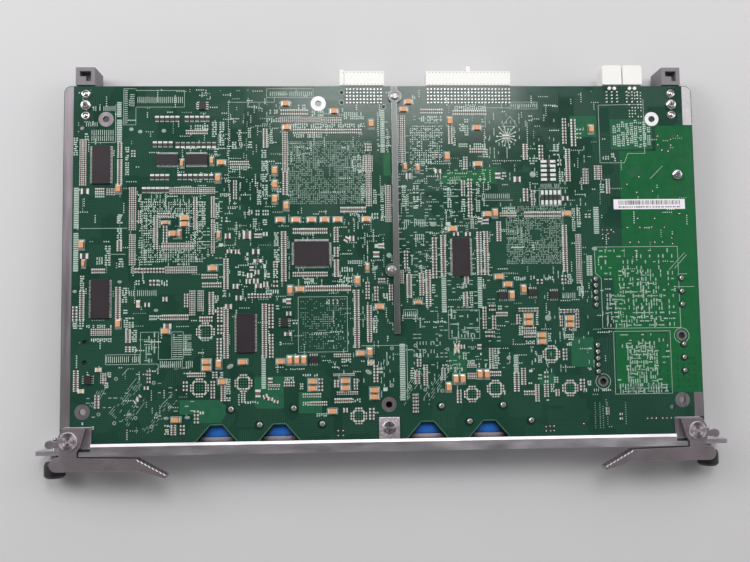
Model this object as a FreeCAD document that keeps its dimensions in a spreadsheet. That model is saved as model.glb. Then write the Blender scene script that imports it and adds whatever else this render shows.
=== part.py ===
"""Four-port optical line card lying solder side up, as a parametric document in millimetres.

X runs along the front panel, Y from the panel to the backplane connectors, Z up from the
panel's lower edge. The zero point is under the middle of the whole card.
"""
import FreeCAD, Part
import os
import re

import Sketcher

doc = FreeCAD.newDocument("service_board")

# Driving dimensions
SIZES = [
    ("panel_overhang", 14.35, "front panel beyond the board at each end"),
    ("panel_height", 24.5, "front panel across its width, one slot less clearance"),
    ("panel_thick", 2.5, "plate of the front panel"),
    ("leg_reach", 4.2, "panel legs behind the plate's inner face"),
    ("leg_thick", 1.5, "panel legs"),
    ("leg_bevel_run", 1.5, "bevel on the inner edge of a leg, along the card"),
    ("leg_bevel_drop", 0.8, "bevel on the inner edge of a leg, across it"),
    ("leg_end_gap", 0.4, "end of a leg to the corner bracket"),
    ("tongue_height", 16.5, "cut-down ends of the plate, under the levers"),
    ("board_width", 366.7, "circuit board along the panel"),
    ("board_depth", 207.7, "circuit board from front edge to rear edge"),
    ("board_thick", 2.0, "circuit board"),
    ("board_drop", 4.5, "panel's upper edge down to the solder face"),
    ("board_corner", 4.0, "rear corner radius of the board"),
    ("front_gap", 0.3, "plate's inner face to the board's front edge"),
    ("fit_gap", 0.05, "radial clearance of pins and rivets"),
    ("move_gap", 0.3, "clearance round moving pieces"),
    ("hole_radius", 1.85, "mounting holes of the board"),
    ("small_hole_radius", 1.4, "tooling holes of the board"),
    ("port_first", -96.4, "first port of the left pair from the middle"),
    ("port_third", 23.0, "first port of the right pair from the middle"),
    ("port_pitch", 35.4, "port to port within a pair"),
    ("port_height", 11.0, "port centre above the panel's lower edge"),
    ("port_gap", 0.3, "receptacle nose to the panel cut-out"),
    ("notch_depth", 12.7, "board notch over a port"),
    ("notch_top", 7.0, "board notch at its inner end"),
    ("notch_mouth", 29.2, "board notch at the front edge"),
    ("nose_width", 13.2, "receptacle nose"),
    ("nose_height", 9.6, "receptacle nose"),
    ("nose_proud", 0.5, "receptacle nose ahead of the plate"),
    ("plug_width", 9.2, "plug opening"),
    ("plug_height", 7.6, "plug opening"),
    ("plug_depth", 14.0, "plug opening from the nose's front"),
    ("sleeve_radius", 2.3, "ferrule sleeve in a receptacle"),
    ("ferrule_radius", 1.26, "bore of the ferrule sleeve"),
    ("sleeve_length", 8.0, "ferrule sleeve from the back of the opening"),
    ("receptacle_width", 17.0, "receptacle body behind the shell"),
    ("receptacle_height", 10.0, "receptacle body behind the shell"),
    ("receptacle_length", 10.8, "receptacle body behind the shell"),
    ("shell_width", 21.0, "shield shell round a nose"),
    ("shell_height", 12.8, "shield shell round a nose"),
    ("shell_depth", 6.2, "shield shell behind the plate"),
    ("module_width", 19.0, "optical module can"),
    ("module_length", 36.0, "optical module can"),
    ("module_height", 10.5, "optical module can under the board"),
    ("plug_key_width", 2.6, "key slot over the plug opening"),
    ("plug_key_rise", 0.6, "key slot over the plug opening"),
    ("module_edge", 0.8, "rounded lower edges of the module can"),
    ("lamp_clear", 3.3, "lamp to the next port's shell"),
    ("lamp_radius", 1.2, "light guide rod"),
    ("lamp_proud", 0.3, "light guide rod ahead of the plate"),
    ("lamp_block", 6.4, "light guide foot, across"),
    ("lamp_foot_front", 9.0, "light guide foot behind the plate"),
    ("lamp_foot_length", 8.0, "light guide foot along the card"),
    ("status_first", -152.0, "first status lamp from the middle"),
    ("status_pitch", 8.0, "status lamp to status lamp"),
    ("pivot_inset", 5.75, "lever pivot from the board's side edge"),
    ("pivot_y", 5.8, "lever pivot behind the plate's inner face"),
    ("pin_radius", 2.0, "lever pivot pin"),
    ("pin_head_radius", 5.4, "turned head of the pivot pin"),
    ("pin_head", 0.5, "turned head of the pivot pin"),
    ("pin_tail", 10.0, "pivot pin below the solder face"),
    ("head_gap", 0.1, "pivot head above the lever"),
    ("lever_plate", 2.6, "flat of the lever at its pivot"),
    ("lever_rear", 7.0, "lever flat behind the pivot"),
    ("lever_out", 5.4, "lever flat outward of the pivot"),
    ("lever_stop_rear", 9.4, "stop edge inward of the pivot, rear end"),
    ("lever_stop_front", 6.6, "stop edge inward of the pivot, front end"),
    ("lever_stop_reach", 2.8, "stop edge ahead of the pivot"),
    ("neck_out", 4.7, "lever neck outward of the pivot"),
    ("neck_in", 4.8, "lever neck inward of the pivot"),
    ("notch_in", 6.2, "panel notch inward of the pivot"),
    ("arm_rear", 8.7, "lever arm ahead of the pivot"),
    ("arm_depth", 7.9, "lever arm front to back"),
    ("arm_taper", 1.4, "lever arm, narrowing of its rear face"),
    ("arm_height", 7.1, "lever arm"),
    ("arm_outer", 10.2, "lever arm outward of the pivot"),
    ("arm_inner", 38.0, "lever arm inward of the pivot"),
    ("arm_round", 3.8, "outer end of the lever arm"),
    ("tab_run", 16.5, "finger tab along the panel"),
    ("tab_drop", 9.0, "finger tab away from the panel"),
    ("tab_tip", 2.0, "finger tab at its tip"),
    ("tooth_depth", 0.6, "grip teeth of the finger tab"),
    ("claw_reach", 10.4, "claw bulb outward of the pivot"),
    ("claw_drop", 1.6, "claw bulb ahead of the pivot"),
    ("claw_bulb", 2.3, "claw bulb radius"),
    ("claw_width", 3.6, "claw finger"),
    ("bracket_in", 12.0, "corner bracket inward of the pivot"),
    ("bracket_out", 4.6, "corner bracket outward of the pivot"),
    ("bracket_front", 1.2, "corner bracket behind the plate"),
    ("bracket_rear", 13.5, "corner bracket behind the plate"),
    ("bracket_thick", 1.0, "corner and middle brackets"),
    ("block_height", 10.0, "corner block under the board"),
    ("panel_screw_in", 7.1, "panel screw inward of the pivot"),
    ("panel_screw_height", 12.5, "panel screw above the panel's lower edge"),
    ("screw_radius", 1.25, "small screws"),
    ("screw_head_radius", 2.3, "small countersunk heads"),
    ("screw_sink", 1.2, "depth of a countersunk head"),
    ("panel_screw_length", 9.0, "panel screw"),
    ("middle_x", 1.2, "middle bracket from the middle"),
    ("middle_width", 11.7, "middle bracket"),
    ("middle_rear", 16.1, "middle bracket behind the plate"),
    ("middle_rivet_y", 10.4, "middle rivet behind the plate"),
    ("middle_head_radius", 3.9, "turned head of the middle rivet"),
    ("rivet_radius", 1.5, "rivet shanks"),
    ("rivet_head", 0.6, "rivet heads"),
    ("captive_inset", 8.2, "captive screw from the panel's end"),
    ("captive_height", 8.5, "captive screw above the panel's lower edge"),
    ("captive_radius", 1.5, "threaded end of a captive screw"),
    ("captive_neck", 1.1, "neck of a captive screw inside its ferrule and knob"),
    ("captive_step", 0.3, "threaded end from the plate's inner face"),
    ("captive_rear", 6.5, "captive screw behind the plate"),
    ("captive_inside", 8.0, "captive screw inside its knob"),
    ("ferrule_outer", 3.6, "ferrule pressed into the plate"),
    ("ferrule_proud", 3.2, "ferrule ahead of the plate"),
    ("knob_length", 13.5, "knob front ahead of the plate"),
    ("knob_gap", 4.6, "knob's rear face ahead of the plate"),
    ("knob_waist", 5.2, "knob radius at its rear"),
    ("knob_radius", 5.9, "knob radius at its front"),
    ("knob_flare", 1.6, "length over which the knob widens"),
    ("knob_round", 1.3, "rounded front edge of the knob"),
    ("knob_slot", 1.4, "driver slot in the knob"),
    ("knob_slot_depth", 1.6, "driver slot in the knob"),
    ("bar_x", 6.5, "stiffener bar from the middle"),
    ("bar_width", 3.3, "stiffener bar"),
    ("bar_height", 2.0, "stiffener bar"),
    ("bar_front", 63.4, "stiffener bar's front end from the plate"),
    ("bar_rear_inset", 0.4, "stiffener bar's rear end from the board's rear edge"),
    ("lug_radius", 3.8, "round lugs of the stiffener bar"),
    ("rear_lug_x", 7.0, "rear lug from the middle"),
    ("rear_lug_inset", 6.5, "rear lug from the board's rear edge"),
    ("front_lug_x", 3.9, "front lug from the middle"),
    ("front_lug_y", 99.9, "front lug from the plate"),
    ("bar_head_radius", 2.5, "stiffener rivet heads"),
    ("guide_inset", 11.85, "guide block from the board's side edge"),
    ("guide_width", 11.0, "guide block"),
    ("guide_rear_gap", 0.8, "board's rear edge to the guide block"),
    ("guide_reach", 11.2, "guide block behind the board"),
    ("guide_under", 3.0, "guide block above the panel's lower edge"),
    ("guide_foot", 21.0, "guide foot under the board"),
    ("guide_foot_height", 9.0, "guide foot under the board"),
    ("guide_bore", 3.0, "guide bore radius"),
    ("guide_bore_height", 10.0, "guide bore above the panel's lower edge"),
    ("guide_bore_depth", 22.0, "guide bore"),
    ("guide_lead_in", 1.2, "lead-in of the guide bore"),
    ("guide_pocket_x", 6.4, "hollow in the top of a guide block"),
    ("guide_pocket_y", 5.9, "hollow in the top of a guide block"),
    ("guide_pocket_depth", 5.0, "hollow in the top of a guide block"),
    ("guide_corner_x", 3.6, "corner left standing in that hollow"),
    ("guide_corner_y", 2.8, "corner left standing in that hollow"),
    ("guide_screw_inset", 11.3, "guide screw from the board's rear edge"),
    ("guide_fixing_in", 0.6, "guide eyelets and screws inward of the guide block's middle"),
    ("eyelet_rear", 4.7, "rear eyelet from the board's rear edge"),
    ("eyelet_front", 17.5, "front eyelet from the board's rear edge"),
    ("eyelet_tube", 1.7, "eyelet tube"),
    ("eyelet_bore", 1.2, "eyelet tube, inside"),
    ("eyelet_depth", 5.5, "eyelet below the solder face"),
    ("eyelet_flange", 2.6, "rolled flange of an eyelet"),
    ("eyelet_rise", 1.0, "rolled flange of an eyelet"),
    ("pan_head_radius", 3.1, "pan head screws"),
    ("pan_head", 1.9, "pan head screws"),
    ("pan_screw_length", 6.0, "pan head screws below the solder face"),
    ("lone_screw_inset", 10.35, "lone board screw from the board's side edge"),
    ("lone_screw_y", 154.8, "lone board screw from the plate"),
    ("nut_radius", 3.0, "nut of the lone screw, across corners half"),
    ("nut_height", 2.0, "nut of the lone screw"),
    ("signal_under", 7.0, "signal connectors above the panel's lower edge"),
    ("signal_foot", 14.0, "signal connector foot under the board"),
    ("signal_reach", 9.0, "signal connectors behind the board"),
    ("signal_drop", 0.2, "signal connector top below the solder face"),
    ("signal_gap", 0.3, "signal connectors behind the board's rear edge"),
    ("signal_a_left", -24.9, "narrow signal connector, left side"),
    ("signal_a_width", 25.8, "narrow signal connector"),
    ("signal_b_left", 25.6, "wide signal connector, left side"),
    ("signal_b_width", 49.8, "wide signal connector"),
    ("key_width", 2.2, "key ribs of the signal connectors"),
    ("key_a_reach", 1.0, "key rib of the narrow connector"),
    ("key_b_reach", 2.9, "key rib of the wide connector"),
    ("contact_pitch", 2.0, "contact to contact"),
    ("contact_open", 1.2, "contact opening"),
    ("contact_depth", 5.0, "contact opening"),
    ("contact_rows", 5, "rows of contacts"),
    ("contact_first_row", 2.4, "lowest contacts above the connector's underside"),
    ("contact_margin", 2.9, "outer contacts from the wide connector's sides"),
    ("contact_key_gap", 1.8, "first contacts of the narrow connector from its key rib"),
    ("contact_a_columns", 11, "columns of the narrow connector"),
    ("contact_b_columns", 11, "columns in each half of the wide connector"),
    ("tail_size", 0.6, "press-fit tail"),
    ("tail_rise", 1.0, "press-fit tail above the solder face"),
    ("tail_first_inset", 2.0, "rear row of tails from the board's rear edge"),
    ("tail_b_columns", 25, "columns of tails of the wide connector"),
    ("power_first_left", 130.5, "left side of the first power connector"),
    ("power_width", 11.5, "power connector"),
    ("power_gap", 0.6, "power connector to power connector"),
    ("power_reach", 12.6, "power connectors behind the board"),
    ("power_rear_gap", 1.0, "board's rear edge to the power connectors"),
    ("power_under", 8.5, "power connectors above the panel's lower edge"),
    ("power_foot", 13.0, "power connector foot under the board"),
    ("power_round", 1.6, "rounded rear edges of a power connector"),
    ("power_slot", 1.6, "blade slots of a power connector"),
    ("power_slot_height", 7.0, "blade slots of a power connector"),
    ("power_slot_depth", 6.0, "blade slots of a power connector"),
    ("power_slot_pitch", 3.1, "blade slot to blade slot"),
    ("peg_radius", 1.0, "moulded pegs of a power connector"),
    ("peg_pitch", 3.0, "peg to peg"),
    ("peg_inset", 1.5, "pegs from the board's rear edge"),
    ("peg_offset", -0.5, "pegs from the connector's middle"),
    ("peg_rise", 0.8, "pegs above the solder face"),
    ("power_tail_pitch", 3.1, "columns of power tails"),
    ("power_tail_offset", -0.6, "power tails from the connector's middle"),
    ("power_tail_inset", 3.6, "rear row of power tails from the board's rear edge"),
    ("memory_length", 22.4, "memory chip along the card"),
    ("memory_width", 10.2, "memory chip"),
    ("chip_height", 1.1, "thin chips"),
    ("driver_length", 12.5, "bus driver chip"),
    ("driver_width", 6.1, "bus driver chip"),
    ("flat_pack_length", 20.0, "flat pack chip"),
    ("flat_pack_width", 14.0, "flat pack chip"),
    ("flat_pack_height", 1.4, "flat pack chip"),
    ("small_chip_length", 4.9, "small outline chip"),
    ("small_chip_width", 3.9, "small outline chip"),
    ("chip_stand", 0.1, "chips above the board"),
    ("chip_draft", 8.0, "draft of the chip sides in degrees"),
    ("capacitor_length", 3.5, "moulded capacitor"),
    ("capacitor_width", 2.8, "moulded capacitor"),
    ("capacitor_height", 1.9, "moulded capacitor"),
    ("small_capacitor_length", 3.2, "small moulded capacitor"),
    ("small_capacitor_width", 1.8, "small moulded capacitor"),
    ("array_height", 2.3, "ball array packages"),
    ("array_large", 35.0, "large ball array package"),
    ("array_small", 27.0, "small ball array package"),
    ("array_step", 0.6, "lid of a ball array package"),
    ("array_border", 3.0, "substrate outside the lid"),
    ("array_balls", 0.5, "ball field between substrate and board"),
    ("sink_base", 2.0, "heat sink base"),
    ("sink_height", 9.5, "heat sink with fins"),
    ("sink_fin", 1.0, "heat sink fin"),
    ("sink_fin_count", 9, "heat sink fins"),
    ("brick_length", 57.9, "power converter along the panel"),
    ("brick_width", 36.8, "power converter along the card"),
    ("brick_height", 9.5, "power converter"),
    ("brick_stand", 0.5, "power converter off the board"),
    ("brick_x", 147.9, "power converters from the middle"),
    ("brick_first_y", 47.8, "front power converter from the plate"),
    ("brick_pitch", 38.4, "power converter to power converter"),
    ("brick_row", 50.8, "input pins to output pins"),
    ("brick_pin_span", 15.24, "first to last pin of a row"),
    ("brick_pin", 0.75, "power converter pin radius"),
    ("brick_core", 16.0, "magnetic core of a power converter"),
    ("brick_plate", 2.0, "base plate of a power converter"),
    ("brick_board", 1.6, "inner board of a power converter"),
    ("brick_wall", 1.5, "edge of a power converter outside its core"),
    ("joint_radius", 1.3, "solder joint on a pin"),
    ("joint_rise", 1.2, "solder joint on a pin"),
    ("post_radius", 1.6, "solder joint on a module post"),
    ("post_x", 8.2, "module post from its port"),
    ("post_y", 22.0, "module post from the plate"),
    ("lamp_post_shift", 2.7, "light guide post from its lamp"),
    ("lamp_post_y", 13.0, "light guide post from the plate"),
    ("can_radius", 5.0, "bulk capacitor"),
    ("can_height", 12.0, "bulk capacitor"),
    ("can_x", 111.0, "first bulk capacitor from the middle"),
    ("can_y", 176.0, "bulk capacitors from the plate"),
    ("can_pitch", 12.0, "bulk capacitor to bulk capacitor"),
    ("choke_radius", 9.0, "filter choke"),
    ("choke_bore", 4.0, "filter choke"),
    ("choke_height", 9.0, "filter choke"),
    ("choke_x", 152.0, "filter choke from the middle"),
    ("choke_y", 172.0, "filter choke from the plate"),
]

# Levels and places that follow from the driving dimensions
WORKED = [
    ("board_top", "panel_height - board_drop"),
    ("board_under", "panel_height - board_drop - board_thick"),
    ("whole_depth", "panel_thick + knob_length + front_gap + board_depth + power_reach"),
    ("front_y", "panel_thick + knob_length - whole_depth / 2"),
    ("edge_y", "front_y + front_gap"),
    ("rear_y", "front_y + front_gap + board_depth"),
    ("panel_length", "board_width + panel_overhang * 2"),
    ("captive_x", "panel_length / 2 - captive_inset"),
    ("pivot_x", "board_width / 2 - pivot_inset"),
    ("bracket_inner", "pivot_x - bracket_in"),
    ("bracket_outer", "pivot_x + bracket_out"),
    ("panel_screw_x", "pivot_x - panel_screw_in"),
    ("leg_half", "bracket_inner - leg_end_gap"),
    ("guide_x", "board_width / 2 - guide_inset"),
    ("guide_fixing_x", "guide_x - guide_fixing_in"),
    ("lone_screw_x", "board_width / 2 - lone_screw_inset"),
    ("lamp_offset", "port_pitch - shell_width / 2 - lamp_clear"),
    ("lamp_post_x", "lamp_offset + lamp_post_shift"),
    ("lever_under", "board_top + bracket_thick + move_gap"),
    ("lever_top", "lever_under + lever_plate"),
    ("receptacle_rear", "shell_depth + receptacle_length"),
    ("signal_height", "board_top - signal_drop - signal_under"),
]

LEFT = "(-1)"
RIGHT = "(1)"
SIDES = (LEFT, RIGHT)
TAB_TEETH = 8
AXIS_TO_REAR = FreeCAD.Rotation(FreeCAD.Vector(1, 0, 0), -90)
AXIS_TO_FRONT = FreeCAD.Rotation(FreeCAD.Vector(1, 0, 0), 90)
STATUS_LAMPS = ["status_first", "status_first + status_pitch", "status_first + status_pitch * 2"]
POWER_MIDDLES = [
    "power_first_left + power_width / 2",
    "power_first_left + power_width * 1.5 + power_gap",
]
PORTS = ["port_first", "port_first + port_pitch", "port_third", "port_third + port_pitch"]

# Converter bricks: their middles from the plate, and their pins from a brick's middle
BRICK_MIDDLES = ["brick_first_y", "brick_first_y + brick_pitch"]
BRICK_PINS = [("brick_row / 2", f"brick_pin_span * {step}") for step in (-0.5, 0, 0.5)]
BRICK_PINS += [("-brick_row / 2", f"brick_pin_span * {step}") for step in (-0.5, -0.25, 0, 0.25, 0.5)]
CAN_COUNT = 3

# Rivets of the stiffener bar: places from the card's middle and the plate's inner face
LUGS = [
    ("rear_lug_x", "front_gap + board_depth - rear_lug_inset"),
    ("front_lug_x", "front_lug_y"),
]
GUIDE_EYELETS = ("eyelet_rear", "eyelet_front")
ROLL_STEPS = 6
BOARD_SCREWS = [
    ("-guide_fixing_x", "rear_y - guide_screw_inset"),
    ("guide_fixing_x", "rear_y - guide_screw_inset"),
    ("lone_screw_x", "front_y + lone_screw_y"),
]

# Mounting holes: places from the board's middle and front edge, written from the nearest edges
MOUNTING_HOLES = [
    ("-board_width / 2 + 23.9", "board_depth - 19.4"),
    ("-37.6", "board_depth - 10.4"),
    ("board_width / 2 - 24.3", "board_depth - 19.9"),
    ("-board_width / 2 + 12.3", "21.4"),
    ("1.2", "22.9"),
    ("board_width / 2 - 11.3", "60.0"),
    ("board_width / 2 - 58.3", "34.1"),
    ("board_width / 2 - 12.3", "22.9"),
]
TOOLING_HOLES = [
    ("board_width / 2 - 18.4", "18.8"),
    ("-board_width / 2 + 10.1", "board_depth - 24.2"),
    ("-board_width / 2 + 13.2", "60.4"),
    ("-board_width / 2 + 13.2", "49.0"),
]

# Chips on the solder side: places from the card's middle and the plate's inner face
MEMORY_PLACES = [(-161.8, 162.1), (-161.7, 85.2), (-79.8, 64.9), (44.2, 107.1)]
DRIVER_PLACES = [(-124.4, 164.9), (-107.7, 164.9)]
FLAT_PACK_PLACE = (-42.1, 109.9)
SMALL_CHIPS_ALONG_X = [(-41.4, 49.3), (68.0, 84.7), (85.3, 86.1), (97.8, 84.7)]
SMALL_CHIPS_ALONG_Y = [(-104.3, 196.5), (-168.1, 39.7), (-57.8, 70.6)]

# Moulded capacitors that lie along the panel, then those that lie along the card
CAPACITORS_ALONG_X = [
    (-93.5, 163), (-114.5, 131), (-114.5, 127.5), (-121, 122),
    (-56.5, 197.5), (-28.5, 193), (-56, 183.5), (-60, 129.5), (-51, 129.5),
    (-42, 129.5), (-34.5, 129.5), (-27, 129.5), (-10.5, 129.5), (15, 198.5),
    (12, 194), (55, 183), (55, 161.5), (60, 132), (106.5, 132),
    (39.5, 123.5), (-98.5, 102), (-125, 66.5), (-102, 49), (-102, 45.3),
    (-81.5, 48.5), (-93, 37.5), (-49, 89.5), (-3.5, 79), (-14.5, 52.5),
    (-60, 48.5), (-42, 37), (-42, 33), (-23.5, 37), (-23.5, 33),
    (-7, 31.5), (-7, 27.7), (-31, 20), (66, 95.5),
    (71, 91), (82.5, 72.5), (82.5, 68.7), (106.5, 71), (106.5, 67.3),
    (90, 61.5), (90, 57.8), (-119, 16.6),
]
CAPACITORS_ALONG_Y = [
    (-95.5, 154), (-152, 148), (-172.5, 116), (-7, 185.5), (-63, 158),
    (-63, 150), (-63, 141.5), (-56.5, 137.5), (39, 187), (37, 166),
    (64.5, 132.5), (122.5, 182), (-151.5, 71), (-95, 47.5), (-54.5, 89),
    (-16, 94), (-9.5, 53), (-55, 49), (-51, 49), (-47, 49),
    (73, 84.5), (80, 88), (39.5, 37), (43.5, 37), (53.5, 39.5),
    (57.5, 39.5), (35.5, 32.5),
]
SMALL_CAPACITORS_ALONG_X = [(-125.3, 128.3), (18.6, 81.2)]
SMALL_CAPACITORS_ALONG_Y = [
    (-116, 162.6), (-99, 164), (-117.4, 121.9), (-95, 120.8), (-171.2, 105.4), (12.4, 160),
    (19.8, 159.2), (-10.2, 101.5),
]

# Ball array packages under the board; the large ones carry heat sinks
LARGE_ARRAY_PLACES = [(-121.6, 123.1), (-31.9, 157.1), (87.7, 119.7)]
SMALL_ARRAY_PLACE = (-35.9, 69.2)

sheet = doc.addObject("Spreadsheet::Sheet", "Sizes")
worked = doc.addObject("Spreadsheet::Sheet", "Worked")
cells = {}
nodes = []
EVEN_SPACING = -1.0
WORD = re.compile(r"[a-z_][a-z_0-9]*")
V = FreeCAD.Vector


def formula(text):
    """Turns the bare size names of a text into references to their cells."""
    return WORD.sub(lambda found: cells.get(found.group(), found.group()), str(text))


def value(text):
    """The number that a text of size names comes to."""
    return float(sheet.evalExpression(formula(text)))


def fill_sheets():
    """Writes the driving dimensions as plain numbers and the worked ones as formulas."""
    for row, (name, number, note) in enumerate(SIZES, start=1):
        sheet.set(f"A{row}", note)
        sheet.set(f"B{row}", str(number))
        sheet.setAlias(f"B{row}", name)
        cells[name] = f"Sizes.{name}"
    for row, (name, text) in enumerate(WORKED, start=1):
        worked.set(f"A{row}", name.replace("_", " "))
        worked.set(f"B{row}", "=" + formula(text))
        worked.setAlias(f"B{row}", name)
        cells[name] = f"Worked.{name}"
    doc.recompute()


def bind(thing, **bindings):
    """Binds properties to texts of size names; a double underscore stands for a dot."""
    for prop, text in bindings.items():
        thing.setExpression(prop.replace("__", "."), formula(text))


def place(thing, x, y, z):
    bind(thing, Placement__Base__x=x, Placement__Base__y=y, Placement__Base__z=z)


def body(label, x="0", y="0", z="0"):
    """A body whose own zero sits at x, y, z of the card."""
    piece = doc.addObject("PartDesign::Body", label)
    piece.Label = label
    place(piece, x, y, z)
    return piece


def node(piece):
    """Marks a piece as one of the card's named pieces."""
    nodes.append(piece)
    return piece


def sketch_on(piece, plane, offset="0"):
    """An empty sketch on one of the body's own planes, moved along that plane's normal."""
    sketch = piece.newObject("Sketcher::SketchObject", piece.Label + "_sketch")
    support = next(item for item in piece.Origin.OriginFeatures if item.Role == plane)
    sketch.AttachmentSupport = [(support, "")]
    sketch.MapMode = "FlatFace"
    bind(sketch, AttachmentOffset__Base__z=offset)
    return sketch


def pin_point(sketch, geometry, point, x, y):
    """Ties one point of a sketch to its place by two bound distances from the zero point."""
    for kind, text in (("DistanceX", x), ("DistanceY", y)):
        rule = Sketcher.Constraint(kind, -1, 1, geometry, point, value(text))
        index = sketch.addConstraint(rule)
        sketch.setExpression(f"Constraints[{index}]", formula(text))


def draw_outline(sketch, points):
    """Adds a closed outline of straight edges through the given points."""
    corners = [V(value(x), value(y), 0) for x, y in points]
    count = len(corners)
    first = sketch.GeometryCount
    for index, corner in enumerate(corners):
        sketch.addGeometry(Part.LineSegment(corner, corners[(index + 1) % count]))
    for index, (x, y) in enumerate(points):
        following = first + (index + 1) % count
        sketch.addConstraint(Sketcher.Constraint("Coincident", first + index, 2, following, 1))
        pin_point(sketch, first + index, 1, x, y)


def draw_rectangle(sketch, x, y, width, height):
    """Adds a rectangle centred on x, y."""
    left = f"{x} - ({width}) / 2"
    right = f"{x} + ({width}) / 2"
    low = f"{y} - ({height}) / 2"
    high = f"{y} + ({height}) / 2"
    draw_outline(sketch, [(left, low), (right, low), (right, high), (left, high)])


def draw_circle(sketch, x, y, radius):
    circle = Part.Circle(V(value(x), value(y), 0), V(0, 0, 1), value(radius))
    geometry = sketch.addGeometry(circle)
    pin_point(sketch, geometry, 3, x, y)
    rule = Sketcher.Constraint("Radius", geometry, value(radius))
    index = sketch.addConstraint(rule)
    sketch.setExpression(f"Constraints[{index}]", formula(radius))


def grow(piece, sketch, length, backward=False, draft=None):
    """Pads a sketch along its plane's normal, or against it."""
    pad = piece.newObject("PartDesign::Pad", piece.Label + "_pad")
    pad.Profile = sketch
    pad.Reversed = backward
    bind(pad, Length=length)
    if draft:
        bind(pad, TaperAngle=f"-({draft})")
    return pad


def grow_both_ways(piece, sketch, length):
    """Pads a sketch by half the length to each side of its plane."""
    pad = grow(piece, sketch, length)
    pad.Midplane = True
    return pad


def sink(piece, sketch, length, along_normal=False):
    """Pockets a sketch against its plane's normal, or along it."""
    doc.recompute()
    before = piece.Shape.Volume
    pocket = piece.newObject("PartDesign::Pocket", piece.Label + "_pocket")
    pocket.Profile = sketch
    pocket.Reversed = along_normal
    bind(pocket, Length=length)
    doc.recompute()
    if piece.Shape.Volume >= before:
        raise RuntimeError(f"a pocket of {piece.Label} cuts nothing")
    return pocket


def repeat(piece, feature, sketch, columns, pitch_x, rows="1", pitch_y="1", down=False):
    """Repeats a feature in a grid along the sketch's two axes."""
    pattern = piece.newObject("PartDesign::LinearPattern", piece.Label + "_grid")
    pattern.Originals = [feature]
    pattern.Direction = (sketch, ["H_Axis"])
    pattern.Mode = "Spacing"
    bind(pattern, Occurrences=columns, Offset=pitch_x)
    pattern.Direction2 = (sketch, ["V_Axis"])
    pattern.Mode2 = "Spacing"
    pattern.Reversed2 = down
    bind(pattern, Occurrences2=rows, Offset2=pitch_y)
    doc.recompute()
    pattern.Spacings2 = [EVEN_SPACING] * (round(value(rows)) - 1)
    piece.Tip = pattern
    return pattern


def turn(piece, profile):
    """Revolves an outline of radius and height pairs about the body's Z axis."""
    sketch = sketch_on(piece, "XZ_Plane")
    draw_outline(sketch, profile)
    solid = piece.newObject("PartDesign::Revolution", piece.Label + "_turn")
    solid.Profile = sketch
    solid.ReferenceAxis = (sketch, ["V_Axis"])
    solid.Angle = 360
    return solid


def round_edges(piece, radius, wanted):
    """Fillets the edges of the body's last feature that the test accepts."""
    doc.recompute()
    base = piece.Tip
    edges = enumerate(base.Shape.Edges, start=1)
    names = [f"Edge{index}" for index, edge in edges if wanted(edge)]
    fillet = piece.newObject("PartDesign::Fillet", piece.Label + "_round")
    fillet.Base = (base, names)
    bind(fillet, Radius=radius)
    return fillet


def group(label, pieces):
    """One named node that holds several separate solids."""
    bundle = doc.addObject("Part::Compound", label)
    bundle.Label = label
    bundle.Links = pieces
    return node(bundle)


def is_upright(edge):
    """True for a straight edge along the body's Z axis."""
    if edge.Curve.TypeId != "Part::GeomLine":
        return False
    return abs(edge.tangentAt(edge.FirstParameter).z) > 0.999


def near(edge, x, y, reach=0.05):
    """True for an edge whose middle lies over the point x, y of the body."""
    middle = edge.CenterOfMass
    return abs(middle.x - x) < reach and abs(middle.y - y) < reach


def front_panel():
    """A plate with two inward legs, cut down at both ends for the levers."""
    piece = body("front_panel", y="front_y")
    plate = sketch_on(piece, "XZ_Plane")
    draw_rectangle(plate, "0", "panel_height / 2", "panel_length", "panel_height")
    grow(piece, plate, "panel_thick")
    for outer, inward in (("panel_height", "-1"), ("0", "1")):
        leg = sketch_on(piece, "YZ_Plane")
        inner = f"{outer} + {inward} * leg_thick"
        bevel = f"{outer} + {inward} * leg_bevel_drop"
        draw_outline(leg, [
            ("0", outer),
            ("leg_reach - leg_bevel_run", outer),
            ("leg_reach", bevel),
            ("leg_reach", inner),
            ("0", inner),
        ])
        grow_both_ways(piece, leg, "leg_half * 2")
    cuts = sketch_on(piece, "XZ_Plane")
    for port in PORTS:
        width = "nose_width + port_gap * 2"
        height = "nose_height + port_gap * 2"
        draw_rectangle(cuts, port, "port_height", width, height)
        draw_circle(cuts, f"{port} + lamp_offset", "port_height", "lamp_radius + fit_gap")
    for lamp in STATUS_LAMPS:
        draw_circle(cuts, lamp, "port_height", "lamp_radius + fit_gap")
    for side in SIDES:
        notch_edge = "pivot_x - notch_in"
        draw_outline(cuts, [
            (f"{side} * ({notch_edge})", "tongue_height"),
            (f"{side} * (panel_length / 2 + panel_thick)", "tongue_height"),
            (f"{side} * (panel_length / 2 + panel_thick)", "panel_height + panel_thick"),
            (f"{side} * ({notch_edge})", "panel_height + panel_thick"),
        ])
        draw_circle(cuts, f"{side} * captive_x", "captive_height", "ferrule_outer")
        draw_circle(cuts, f"{side} * panel_screw_x", "panel_screw_height", "screw_radius + fit_gap")
    sink(piece, cuts, "panel_thick", along_normal=True)
    countersink_panel(piece)
    return node(piece)


def countersink_panel(piece):
    """Conical seats for the heads of the panel screws."""
    seats = sketch_on(piece, "XZ_Plane", "panel_thick")
    for side in SIDES:
        x = f"{side} * panel_screw_x"
        draw_circle(seats, x, "panel_screw_height", "screw_head_radius + fit_gap")
    seat = sink(piece, seats, "screw_sink")
    slope = "atan((screw_head_radius - screw_radius) / screw_sink)"
    bind(seat, TaperAngle=f"-{slope}")
    return seat


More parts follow.
